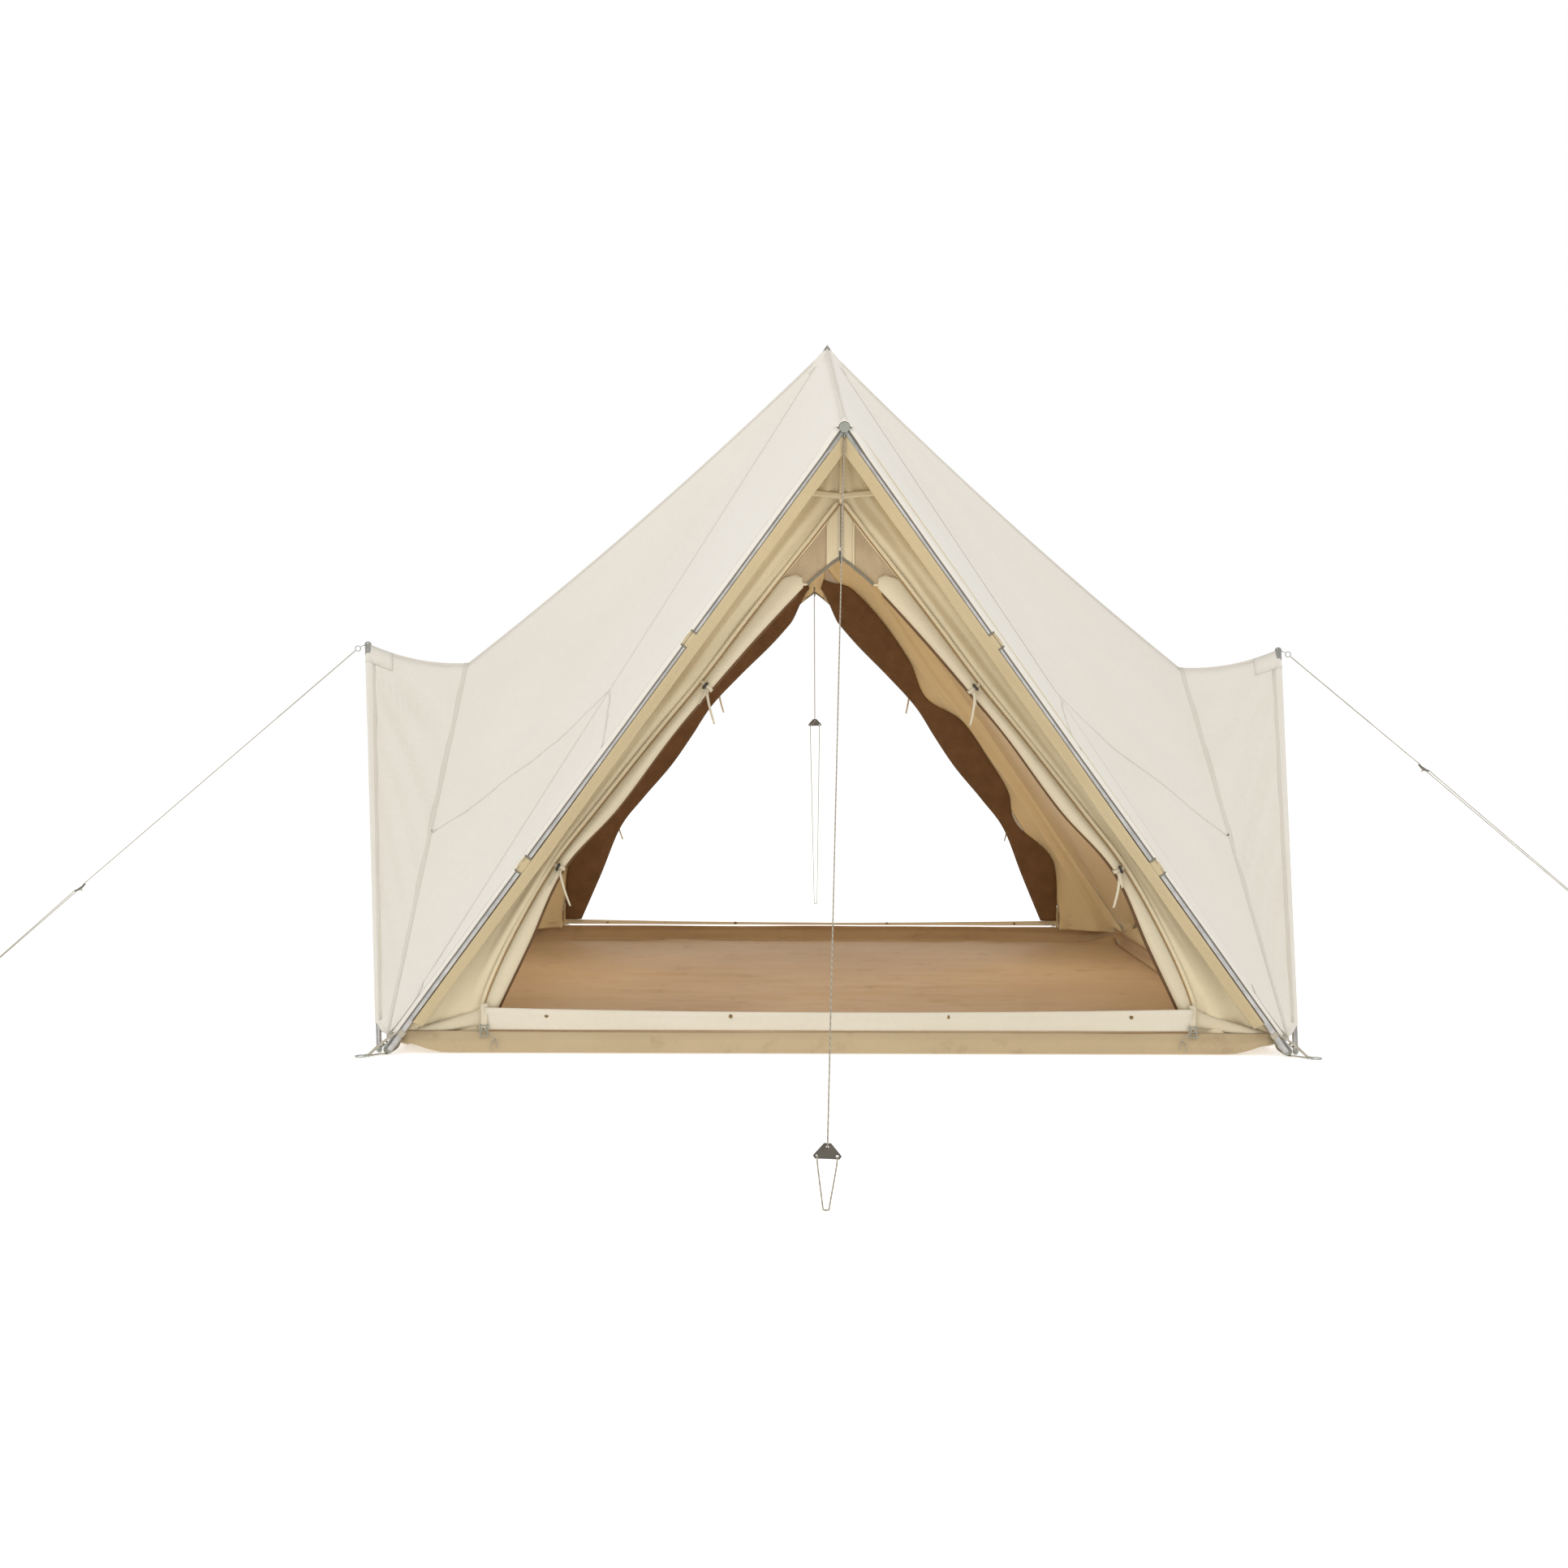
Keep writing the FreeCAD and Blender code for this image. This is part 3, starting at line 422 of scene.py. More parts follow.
# ------------------------------------------------------------------ camera, floor and light
def camera():
    data = bpy.data.cameras.new("camera")
    data.lens = 45.15
    data.sensor_width = 36.0
    data.clip_end = 200.0
    eye = bpy.data.objects.new("camera", data)
    bpy.context.scene.collection.objects.link(eye)
    yaw, pitch, roll = math.radians(-1.11), math.radians(90 - 2.93), math.radians(0.35)
    turn = Matrix.Rotation(yaw, 4, "Z") @ Matrix.Rotation(pitch, 4, "X") @ Matrix.Rotation(roll, 4, "Z")
    eye.matrix_world = Matrix.Translation((-0.331, -8.306, 1.289)) @ turn
    bpy.context.scene.camera = eye


def studio():
    made, _, shader = finish_named("pale_studio_floor", Roughness=0.9, Specular_IOR_Level=0.1)
    shader.inputs["Base Color"].default_value = linear("#FFFFFF")
    shader.inputs["Emission Color"].default_value = linear("#FFFFFF")
    shader.inputs["Emission Strength"].default_value = 0.42
    bm = bmesh.new()
    size = 60.0
    bmesh.ops.create_grid(bm, x_segments=4, y_segments=4, size=size)
    ground = object_from(bm, "studio_floor", made)
    ground.location.z = -0.001
    world = bpy.data.worlds.new("studio")
    world.use_nodes = True
    sky = world.node_tree
    sky.nodes["Background"].inputs["Color"].default_value = linear("#FFFFFF")
    seen = add(sky, "LightPath")
    level = add(sky, "MapRange", {"Value": seen.outputs["Is Camera Ray"], "To Min": 0.72, "To Max": 1.0})
    sky.links.new(level.outputs[0], sky.nodes["Background"].inputs["Strength"])
    bpy.context.scene.world = world
    for name, place_at, aim, size_of, power in (
            ("key_light", (-2.6, -5.0, 9.0), (0, 0, 1.0), 4.5, 150.0),
            ("fill_light", (6.0, -6.0, 4.0), (0, 0, 1.0), 5.0, 25.0),
            ("back_light", (0.0, 7.0, 6.0), (0, 0, 1.0), 6.0, 40.0)):
        data = bpy.data.lights.new(name, "AREA")
        data.size = size_of
        data.energy = power
        lamp = bpy.data.objects.new(name, data)
        bpy.context.scene.collection.objects.link(lamp)
        lamp.location = place_at
        lamp.rotation_mode = "QUATERNION"
        lamp.rotation_quaternion = (Vector(aim) - Vector(place_at)).to_track_quat("-Z", "Y")
    # daylight soaking through the cloth, as large warm lamps inside
    for name, place_at, power in (("glow_high", (0, 0.1, 1.45), 6.5), ("glow_left", (-1.0, 0.3, 0.60), 6.5),
                                  ("glow_right", (1.0, 0.3, 0.60), 6.5), ("glow_low", (0, -0.3, 0.45), 2.5),
                                  ("glow_porch", (0, -1.62, 1.70), 1.2)):
        data = bpy.data.lights.new(name, "POINT")
        data.energy = power
        data.shadow_soft_size = 0.4
        data.color = (1.0, 0.90, 0.76)
        glow = bpy.data.objects.new(name, data)
        bpy.context.scene.collection.objects.link(glow)
        glow.location = place_at
        glow.visible_camera = False
    bpy.context.scene.view_settings.view_transform = "Standard"


camera()
studio()


# ------------------------------------------------------------------ guy lines
PLATE_HIGH = 0.044
PLATE_WIDE = 0.072
CORD_D = 0.004
GUYS = (("front", (0, -1.524, 2.126), (-0.130, -3.560), 0.165, (1, 0, 0), 3.148),
        ("rear", (0, 1.524, 2.126), (0.080, 3.134), 1.351, (1, 0, 0), 4.054),
        ("left", (-1.973, 0, 1.415), (-3.600, 0), 0.625, (0, 1, 0), 2.816),
        ("right", (1.973, 0, 1.415), (3.700, 0), 1.490, (0, 1, 0), 3.758))


def guy_points(anchor, peg, double, across):
    ground = Vector((peg[0], peg[1], 0.003))
    down = (ground - anchor).normalized()
    across = (across - down * across.dot(down)).normalized()
    normal = down.cross(across)
    if normal.z < 0:
        normal.negate()
    centre = ground - down * double
    top = centre - down * PLATE_HIGH / 2
    base = centre + down * PLATE_HIGH / 2
    reach = PLATE_WIDE / 2 - 0.011
    h0 = top + down * 0.010
    h1 = base - across * reach - down * 0.008
    h2 = base + across * reach - down * 0.008
    off = normal * 0.0052
    wide = across * 0.008
    near = 6 * CORD_D
    return [anchor, anchor + down * near, h0 - down * near + off * 0.8, h0 + off, h0 - off, h1 - off,
            h1 + off, h1 + down * near + off * 0.8, ground - wide - down * 0.010, ground - wide,
            ground + wide, ground + wide - down * 0.010, h2 + down * near + off * 0.8, h2 + off,
            h2 - off * 2.2]


def guys():
    for name, anchor, peg, double, across, length in GUYS:
        points = guy_points(Vector(anchor), peg, double, Vector(across))
        data = bpy.data.curves.new("guy_line_" + name, "CURVE")
        data.dimensions = "3D"
        data.bevel_depth = CORD_D / 2
        data.bevel_resolution = 3
        data.resolution_u = 12
        spline = data.splines.new("NURBS")
        spline.points.add(len(points) - 1)
        for point, at in zip(spline.points, points):
            point.co = (*at, 1.0)
        spline.order_u = 3
        spline.use_endpoint_u = True
        data.materials.append(CORD)
        guy = bpy.data.objects.new("guy_line_" + name, data)
        bpy.context.scene.collection.objects.link(guy)
        place(guy, "guy_cord", "guy_" + name)


guys()


# ------------------------------------------------------------------ canopy
ROWS = 56                 # down a panel
COLS = 36                 # across a panel


def side_line(t):
    knee = 1 - SLEEVE_START / (APEX - SIDE_FOOT).length
    if t <= knee:
        return mix(APEX, SIDE_FOOT, t)
    return mix(mix(APEX, SIDE_FOOT, knee), CORNER, (t - knee) / (1 - knee))


def fade(t, width=0.12):
    return smooth(min(t, 1 - t) / width)


def hip_point(t):
    return mix(PEAK, HEM, t)


def valley_point(s):
    # down the valley seam, 0 at the top
    return mix(VALLEY, HEM, s)


def front_panel(seed):
    rows = []
    for i in range(ROWS + 1):
        t = i / ROWS
        a = hip_point(t)
        b = mix(PEAK, ROOF_HUB, 1) if i == 0 else mix(ROOF_HUB, HEM, t)
        row = []
        for j in range(COLS + 1):
            s = j / COLS
            p = mix(PEAK, ROOF_HUB, s) if i == 0 else mix(a, b, s)
            dip = math.sin(math.pi * s) * (1 - t)
            fold = (wave(s * 3.2, t * 1.1, seed=seed) * 0.016
                    + wave(s * 9.0 + t * 2.0, t * 1.6, seed=seed + 3) * 0.0045)
            hang = -RIDGE_SAG * dip * smooth(t * 6 + 0.25)
            row.append(p + ROOF_N * (fold * fade(s, 0.2) * fade(t, 0.1) * (1 - t * 0.6) + hang * fade(s)))
        rows.append(row)
    return rows


def side_panel(seed):
    rows = []
    for i in range(ROWS + 1):
        t = i / ROWS
        a = hip_point(t)
        b = mix(PEAK, VALLEY, t) - Vector((0, 0, 4 * ROOF_SAG * t * (1 - t)))
        row = []
        for j in range(COLS + 1):
            s = j / COLS
            p = mix(a, b, s)
            fold = wave(s * 4.0 + t * 2.2, t * 1.2, seed=seed) * 0.020
            fine = wave(s * 13.0 + t * 5.0, t * 2.4, seed=seed + 2) * 0.0045
            pull = (1 - s) * t
            sway = 3 * wave(t * 2, pull * 3, seed=seed)
            fine += 0.0030 * math.sin(pull * 46 + sway) * smooth((t - 0.35) / 0.3)
            hang = -0.022 * math.sin(math.pi * s) * math.sin(math.pi * t ** 0.8)
            row.append(p + SIDE_N * ((fold + fine) * fade(s, 0.2) * fade(t, 0.1) * t ** 0.5 + hang))
        rows.append(row)
    return rows


def pole_wrap(t):
    # the three points where the canvas goes round a side pole
    out = WRAP_R * (1 - smooth((t - 0.960) / 0.04) * 0.85) * smooth(0.35 + t * 12)
    wall_n = Vector((0.98, 0, 0.16)).normalized()
    edge = side_line(t)
    along = (side_line(min(t + 0.01, 1)) - side_line(max(t - 0.01, 0))).normalized()
    found = []
    for way in (WING_N, (WING_N + wall_n).normalized(), wall_n):
        across = way - along * way.dot(along)
        found.append(edge + across.normalized() * out)
    return found


def wing_panel(seed):
    rows = []
    for i in range(COLS + 1):
        t = i / COLS
        inner = valley_point(t)
        wrap = pole_wrap(t)
        outer = wrap[0]
        row = []
        for j in range(25):
            s = j / 24
            p = mix(inner, outer, s)
            ray = p - APEX
            turn = math.atan2(-ray.z, -ray.x + 0.02 - ray.y * 0.2)
            fold = wave(turn * 4.2, ray.length * 0.5, seed=seed) * 0.022
            fine = wave(turn * 15.0, ray.length * 0.8, seed=seed + 4) * 0.006
            pleat = t + 0.36 * s
            sway = 2.5 * wave(pleat * 3, s * 1.5, seed=seed)
            fine += 0.0062 * math.sin(pleat * 40 + sway) * smooth((0.95 - t) / 0.4)
            sag = Vector((0, 0, -WING_SAG * (1 - t) ** 2 * 4 * s * (1 - s)))
            reach = fade(s, 0.18) * smooth(t / 0.12) * smooth((1 - t) / 0.2)
            hollow = 0.012 * math.sin(math.pi * s) * (1 - t) * smooth(t / 0.1)
            row.append(p + sag + WING_N * ((fold + fine) * reach - hollow))
        rows.append(row + wrap[1:])
    return rows


def wall_panel(seed):
    rows = []
    for i in range(COLS + 1):
        t = i / COLS
        edge = pole_wrap(t)[2]
        plain = side_line(t)
        share = (APEX.z - plain.z) / (APEX.z - CORNER.z)
        middle = APEX.x - (APEX.x - CORNER.x) * share + (edge.x - plain.x)
        row = []
        for j in range(29):
            a = j / 28
            x = middle + (edge.x - middle) * a * a
            p = Vector((x, edge.y * a, edge.z))
            fold = (wave(a * 5.0 * t + 1, t * 1.4, seed=seed) * 0.016
                    + wave(a * 14 * t, t * 3, seed=seed + 1) * 0.004)
            row.append(p + Vector((fold * fade(1 - a * 0.5, 0.3) * smooth((1 - a) / 0.15)
                                   * smooth(t / 0.2) * smooth((1 - t) / 0.15), 0, 0)))
        rows.append(row)
    return rows


def canopy():
    # one sheet: every seam's points are shared and welded
    grids = []
    for number, (sx, sy) in enumerate(((1, 1), (-1, 1), (1, -1), (-1, -1))):
        odd = sx * sy < 0
        seed = 1.7 + number * 2.3
        grids.append((mirrored(front_panel(seed), sx, sy), odd))
        grids.append((mirrored(side_panel(seed + 0.6), sx, sy), not odd))
        grids.append((mirrored(wing_panel(seed + 1.1), sx, sy), not odd))
        wall = wall_panel(5.0 + sx)
        grids.append((mirrored(wall, sx, sy), odd))
    nodes = []
    for end in ("front", "rear"):
        for side in ("left", "right"):
            nodes += ["roof_%s_%s" % (end, side), "wing_%s_%s" % (end, side)]
    nodes += ["side_wall_left", "side_wall_right"]
    # the inner face gets the yellower painted-glow canvas colour, for daylight through the cloth
    piece = cloth("canopy", grids, "canvas", nodes, (CANVAS, CANVAS_IN_GLOW), thick=0, weld=0.0009)
    bm = bmesh.new()
    bm.from_mesh(piece.data)
    for vert in bm.verts:
        vert.co.z -= BLUNT * (1 - smooth(math.hypot(vert.co.x, vert.co.y) / 0.065))
    bmesh.ops.recalc_face_normals(bm, faces=bm.faces)
    bm.faces.ensure_lookup_table()
    high = max(bm.faces, key=lambda f: f.calc_center_median().z)
    if high.normal.z < 0:
        bmesh.ops.reverse_faces(bm, faces=bm.faces)
    bm.to_mesh(piece.data)
    bm.free()
    thicken(piece, CANVAS_T, inner=1)


canopy()


def seam_strip(path, inside, normal, width=0.015, lift=0.0015):
    # a felled seam: a narrow fold of canvas lying on one side of a stitched line, rounded at its edges
    rows = []
    for p, q in zip(path, inside):
        way = (q - p).normalized() if (q - p).length > 1e-5 else Vector((0, 0, 1))
        row = []
        for s, up in ((-0.12, 0.0), (0.0, 0.7), (0.12, 1.0), (0.88, 1.0), (1.0, 0.7), (1.12, 0.0)):
            row.append(p + way * width * s + normal * lift * (up + 0.15))
        rows.append(row)
    return rows


def on_panel(rows, down, over):
    # a point on a panel, given as shares of its rows and columns
    y, x = down * (len(rows) - 1), over * (len(rows[0]) - 1)
    i, j = min(int(y), len(rows) - 2), min(int(x), len(rows[0]) - 2)
    left = mix(rows[i][j], rows[i + 1][j], y - i)
    right = mix(rows[i][j + 1], rows[i + 1][j + 1], y - i)
    return mix(left, right, x - j)


def block_of(rows, top, bottom, near, far, normal, lift):
    # a second layer of canvas over part of a panel, given as shares of its rows and columns
    n, m = len(rows) - 1, len(rows[0]) - 1
    picked = rows[round(top * n):round(bottom * n) + 1]
    return [[p + normal * lift for p in row[round(near * m):round(far * m) + 1]] for row in picked]


def canopy_seams():
    strips, patches = [], []
    for number, (sx, sy) in enumerate(((1, 1), (-1, 1), (1, -1), (-1, -1))):
        odd = sx * sy < 0
        seed = 1.7 + number * 2.3
        front, side = front_panel(seed), side_panel(seed + 0.6)
        wing = wing_panel(seed + 1.1)
        hip = seam_strip([r[0] for r in front], [r[3] for r in front], ROOF_N)
        valley = seam_strip([r[-1] for r in side], [r[-4] for r in side], SIDE_N)
        low = seam_strip([r[0] for r in wing], [r[3] for r in wing], WING_N, lift=0.0018)
        join, beside = [], []
        for u in line(0.0, 1.0, 40):
            t = 0.54 + 0.46 * u
            join.append(on_panel(side, t, 0.5 * u / t))
            beside.append(on_panel(side, min(t + 0.02, 1.0), 0.5 * u / t))
        across = seam_strip(join, beside, SIDE_N, width=0.012)
        short = seam_strip([on_panel(front, 0.54 - 0.015 * u, u) for u in line(0.0, 1.0, 20)],
                           [on_panel(front, 0.56 - 0.015 * u, u) for u in line(0.0, 1.0, 20)], ROOF_N,
                           width=0.012)
        top = seam_strip(front[0], front[2], ROOF_N)
        pole = seam_strip([r[-4] for r in wing][2:-2], [r[-6] for r in wing][2:-2], WING_N, width=0.012)
        ridge = seam_strip(wing[0][:-3], wing[2][:-3], WING_N)
        for rows, same in ((hip, odd), (valley, not odd), (low, not odd), (across, not odd), (short, odd),
                           (top, odd), (pole, not odd), (ridge, not odd)):
            strips.append((mirrored(rows, sx, sy), same))
        patches.append((mirrored(block_of(wing, 0.0, 0.060, 0.70, 1.0, WING_N, 0.0014), sx, sy), not odd))
        patches.append((mirrored(block_of(front, 0.93, 0.985, 0.0, 0.9, ROOF_N, 0.0014), sx, sy), odd))
    cloth("canopy_felled_seams", strips, "canvas", [], (SEAM_TAPE, SEAM_TAPE), thick=0.0006)
    cloth("canopy_corner_patches", patches, "canvas", [], (CANVAS, CANVAS), thick=0.0010)


canopy_seams()


CAP_SIDE = (HEM - PEAK).cross(VALLEY - PEAK - Vector((0, 0, 4 * ROOF_SAG)))


def roof_fall(angle):
    # how steeply the roof drops from the peak in one direction
    x, y = abs(math.cos(angle)), abs(math.sin(angle))
    return max((x * abs(n.x) + y * abs(n.y)) / abs(n.z) for n in (ROOF_N, CAP_SIDE))


def cap_height(angle, r, proud):
    # the cap follows the roof at its rim and is rounded over the crown
    soft = math.sqrt(r * r + 0.024 ** 2) - 0.024
    short = 0.088 - (math.sqrt(0.088 ** 2 + 0.024 ** 2) - 0.024)
    crown = BLUNT * (1 - smooth(r / 0.065))
    return PEAK.z + proud - crown - roof_fall(angle) * (r if r > 0.088 else soft + short * (r / 0.088) ** 2)


def peak_cap():
    cap, rim = [], []
    angles = [2 * math.pi * (k % 72) / 72 for k in range(73)]
    for r, proud in ((0.0, 0.009), (0.006, 0.009), (0.013, 0.0088), (0.021, 0.0085), (0.031, 0.0080),
                     (0.044, 0.0072),
                     (0.058, 0.0064), (0.072, 0.0056), (0.083, 0.0046), (0.088, 0.0030), (0.089, -0.0010)):
        cap.append([Vector((math.cos(a) * r, math.sin(a) * r,
                            cap_height(a, r, proud + 0.0014 * wave(a * 2, r * 30))))
                    for a in angles])
    for r, proud in ((0.0905, -0.001), (0.0905, 0.0042), (0.0870, 0.0062), (0.0830, 0.0068)):
        rim.append([Vector((math.cos(a) * r, math.sin(a) * r, cap_height(a, r, proud))) for a in angles])
    cloth("peak_cap_cloth", [(cap, True)], "canvas", ["peak_cap"], (CANVAS, CANVAS), thick=0.0012)
    cloth("peak_cap_binding", [(rim, False)], "canvas", [], (SEAM_TAPE, SEAM_TAPE), thick=0.0008)


peak_cap()

# ------------------------------------------------------------------ gable walls and doors
def edge_x(z, inset=0.004):
    # where the gable plane meets the roof's inner face
    p = on_gable(0, z)
    level = ROOF_N.dot(ROOF_HUB) - CANVAS_T - inset
    return (level - ROOF_N.y * p.y - ROOF_N.z * p.z) / ROOF_N.x


GABLE_TOP = 2.205
TOP_EDGE = Vector((edge_x(GABLE_TOP), GABLE_TOP))
LOW_EDGE = Vector((edge_x(0.050), 0.050))
BESIDE_DOOR = ((0, GABLE_TOP), (0, 2.110), (0, 2.020)) + WALL


def off_gable(points, end):
    # (x, z, off) triples to points in space, mirrored for the rear
    return [[on_gable(x, z, off, end) for x, z, off in row] for row in points]


def wall_rows(seed):
    rows = []
    steps, cols = 80, 20
    run = LOW_EDGE - TOP_EDGE
    for i in range(steps + 1):
        t = i / steps
        inner = through(BESIDE_DOOR, t)
        share = min(max((inner - TOP_EDGE).dot(run) / run.length_squared, 0), 1)
        share = share + (1 - share) * smooth((t - 0.72) / 0.28)
        outer = TOP_EDGE + run * share
        width = (outer - inner).length
        row = []
        for j in range(cols + 1):
            s = j / cols
            p = mix(inner, outer, s)
            long_fold = (math.sin(s * 9.5 + wave(t * 1.8, seed=seed) * 2.6) * 0.5
                         + wave(s * 6, t * 2.4, seed=seed))
            slant = t * 26 - s * 5
            fine = wave(s * 15 + t, t * 9.0, seed=seed + 5) * 0.0035
            fine += 0.0034 * math.sin(slant + 2 * wave(t * 4, s * 2, seed=seed + 6)) * smooth(width / 0.12)
            off = (long_fold * 0.016 * fade(s, 0.22) * smooth(t / 0.12) * smooth(width / 0.25)
                   + fine * fade(s, 0.1))
            low = smooth((t - 0.8) / 0.2)
            off += low * 0.004 * math.sin(s * 17 + seed) * fade(s, 0.2)
            row.append((p.x, p.y, off))
        rows.append(row)
    return rows


def gable_walls():
    for end, name, seed in ((-1, "front", 2.4), (1, "rear", 6.1)):
        grids = []
        for sx in (1, -1):
            grid = off_gable(wall_rows(seed + sx), end)
            grids.append(([[Vector((p.x * sx, p.y, p.z)) for p in row] for row in grid], sx * end > 0))
        # the gable wall's yellow colour is painted glow of daylight through the cloth
        cloth("gable_wall_" + name, grids, "canvas", ["gable_" + name], (WALL_CLOTH_GLOW, WALL_CLOTH_GLOW), offset=0.0)


def ribbon(path, width, lift, end=-1, ripple=0.0, seed=0.0, columns=4):
    # a flat tape that follows (x, z) points on the gable plane, lift metres proud of it
    rows = []
    for i, p in enumerate(path):
        a, b = path[max(i - 1, 0)], path[min(i + 1, len(path) - 1)]
        along = (Vector(b[:2]) - Vector(a[:2])).normalized()
        side = Vector((-along.y, along.x))
        row = []
        for j in range(columns + 1):
            s = j / columns - 0.5
            q = Vector(p[:2]) + side * s * width
            crown = (0.25 - s * s) * 0.004
            row.append(on_gable(q.x, q.y, lift + crown + ripple * wave(i * 0.35, s * 2, seed=seed), end))
        rows.append(row)
    return rows


def both_sides(rows):
    return [(rows, False), ([[Vector((-p.x, p.y, p.z)) for p in row] for row in rows], True)]


def gable_tapes():
    for end, name in ((-1, "front"), (1, "rear")):
        grids = []
        head = [(x, 1.966 - 0.012 * (1 - abs(x) / 0.15) ** 2) for x in line(0.0, 0.146, 9)]
        grids += both_sides(ribbon(head, 0.022, 0.0045, end))
        grids += [(ribbon([(0.0, z) for z in line(2.15, 1.93, 12)], 0.012, 0.004, end), False)]
        cloth("gable_seams_" + name, grids, "canvas", [], (WALL_CLOTH_GLOW, WALL_CLOTH_GLOW), thick=0.001)
        edge = [through(WALL, t) for t in line(0.0, 1.0, 90)]
        zip_path = [(p.x, p.y) for p in edge]
        tapes = both_sides(ribbon(zip_path, 0.0055, 0.0055, end, 0.001, 3.0))
        cloth("door_zip_tape_" + name, tapes, "zip_chain", [], (SEAM_IN, SEAM_IN), thick=0.001)
        band = [(p.x + 0.007, p.y + 0.007) for p in edge]
        cloth("door_zip_flap_" + name, both_sides(ribbon(band, 0.013, 0.0065, end, 0.0015, 5.0)), "canvas",
              [], (WALL_CLOTH_GLOW, WALL_CLOTH_GLOW), thick=0.001)
        hem = []
        for t in line(0.0, 1.0, 24):
            x = mix(1.236, LOW_EDGE.x - 0.006, t)
            low = mix(0.092, 0.048, smooth(t * 1.2))
            high = mix(0.162, 0.060, t ** 0.8)
            hem.append([on_gable(x, mix(low, high, k / 5), 0.006 + 0.006 * math.sin(math.pi * k / 5)
                                 + 0.003 * wave(t * 4, k * 0.3, seed=9), end) for k in range(6)])
        cloth("gable_foot_hem_" + name, both_sides(hem), "canvas", [], (ROLL_CLOTH, ROLL_CLOTH), thick=0.0012)


WINDOW_HIGH = ((0.046, 1.866), (0.100, 1.795), (0.160, 1.722), (0.212, 1.658))
WINDOW_LOW = ((0.046, 1.702), (0.074, 1.680), (0.098, 1.658), (0.122, 1.638))


def door_heads():
    # centre strip with its zip, and a window of net each side
    for end, name in ((-1, "front"), (1, "rear")):
        strip_rows = []
        for i in range(21):
            t = i / 20
            row = []
            for j in range(13):
                x = -0.048 + 0.008 * j
                high, low = 1.925 - 1.24 * abs(x), 1.738 - 0.73 * abs(x)
                off = 0.002 + math.sin(j * 1.6) * 0.0018 + wave(j * 0.4, t * 2, seed=7) * 0.002
                row.append(on_gable(x, mix(high, low, t), off, end))
            strip_rows.append(row)
        cloth("door_head_strip_" + name, [(strip_rows, end > 0)], "canvas", [], (WALL_CLOTH_GLOW, WALL_CLOTH_GLOW),
              offset=0.0)
        nets, frames = [], []
        rows = []
        for i in range(31):
            r = i / 30
            a, b = through(WINDOW_HIGH, r), through(WINDOW_LOW, r)
            row = []
            for j in range(25):
                p = mix(a, b, j / 24)
                wrinkle = wave(p.x * 70, p.y * 9, seed=4) * 0.004 + wave(p.x * 22 + 3, p.y * 14) * 0.004
                row.append(on_gable(p.x, p.y, wrinkle * fade(j / 24, 0.1) * fade(r, 0.1) - 0.001, end))
            rows.append(row)
        nets += both_sides(rows)
        cloth("net_windows_" + name, nets, "mesh", ["mesh_windows"], (NET_LIT,), thick=0)
        rim_high = [tuple(through(WINDOW_HIGH, t)) for t in line(0.0, 1.0, 12)]
        rim_low = [tuple(through(WINDOW_LOW, t)) for t in line(0.0, 1.0, 12)]
        for path in (rim_high, rim_low, [tuple(p) for p in line(Vector(rim_high[0]), Vector(rim_low[0]), 9)],
                     [tuple(p) for p in line(Vector(rim_high[-1]), Vector(rim_low[-1]), 7)]):
            frames += both_sides(ribbon(path, 0.007, 0.003, end))
        cloth("window_binding_" + name, frames, "canvas", [], (WALL_CLOTH_GLOW, WALL_CLOTH_GLOW), thick=0.0012)
        hem = [through(DOOR, t) for t in line(0.0, 0.190, 22)]
        hems = both_sides(ribbon([(p.x, p.y) for p in hem], 0.011, 0.0045, end, 0.0015, 2.0))
        # the dark strip along the doorway's top edge is painted shade
        cloth("door_head_shaded_edge_" + name, hems, "canvas", [], (EDGE_SHADE_STRIP, EDGE_SHADE_STRIP), thick=0.0015)


def roll_rows(inner, outer, t0, flat, seed, lift, shrink=0.0, shift=0.0, steps=110, sides=20, grow=0.025):
    # a rolled door: an oval bundle between two edges on the gable plane, with wrapped folds
    rows = []
    for i in range(steps + 1):
        t = t0 + (1 - t0) * i / steps
        a, b = through(inner, t), through(outer, t)
        width = (b - a).length
        side = (b - a).normalized()
        half = max(width / 2 - shrink, 0.006) * (0.35 + 0.65 * smooth((i / steps) / grow))
        centre = (a + b) / 2 - side * shift
        swell = flat * (0.35 + 0.65 * smooth((i / steps) / 0.16))
        ring = []
        for k in range(sides + 1):
            angle = 2 * math.pi * (k % sides) / sides
            fold = 0.07 * math.sin(angle * 3 + t * 7 + wave(t * 5, seed=seed) * 2) + 0.10 * wave(
                math.cos(angle) * 1.3, math.sin(angle) * 1.3, t * 9, seed=seed)
            r = half * (1 + fold)
            across = math.cos(angle) * half * (1 + 0.04 * fold)
            out = math.sin(angle) * (r * swell + 0.002)
            p = centre + side * across
            ring.append((p.x, p.y, out + lift))
        rows.append(ring)
    return rows


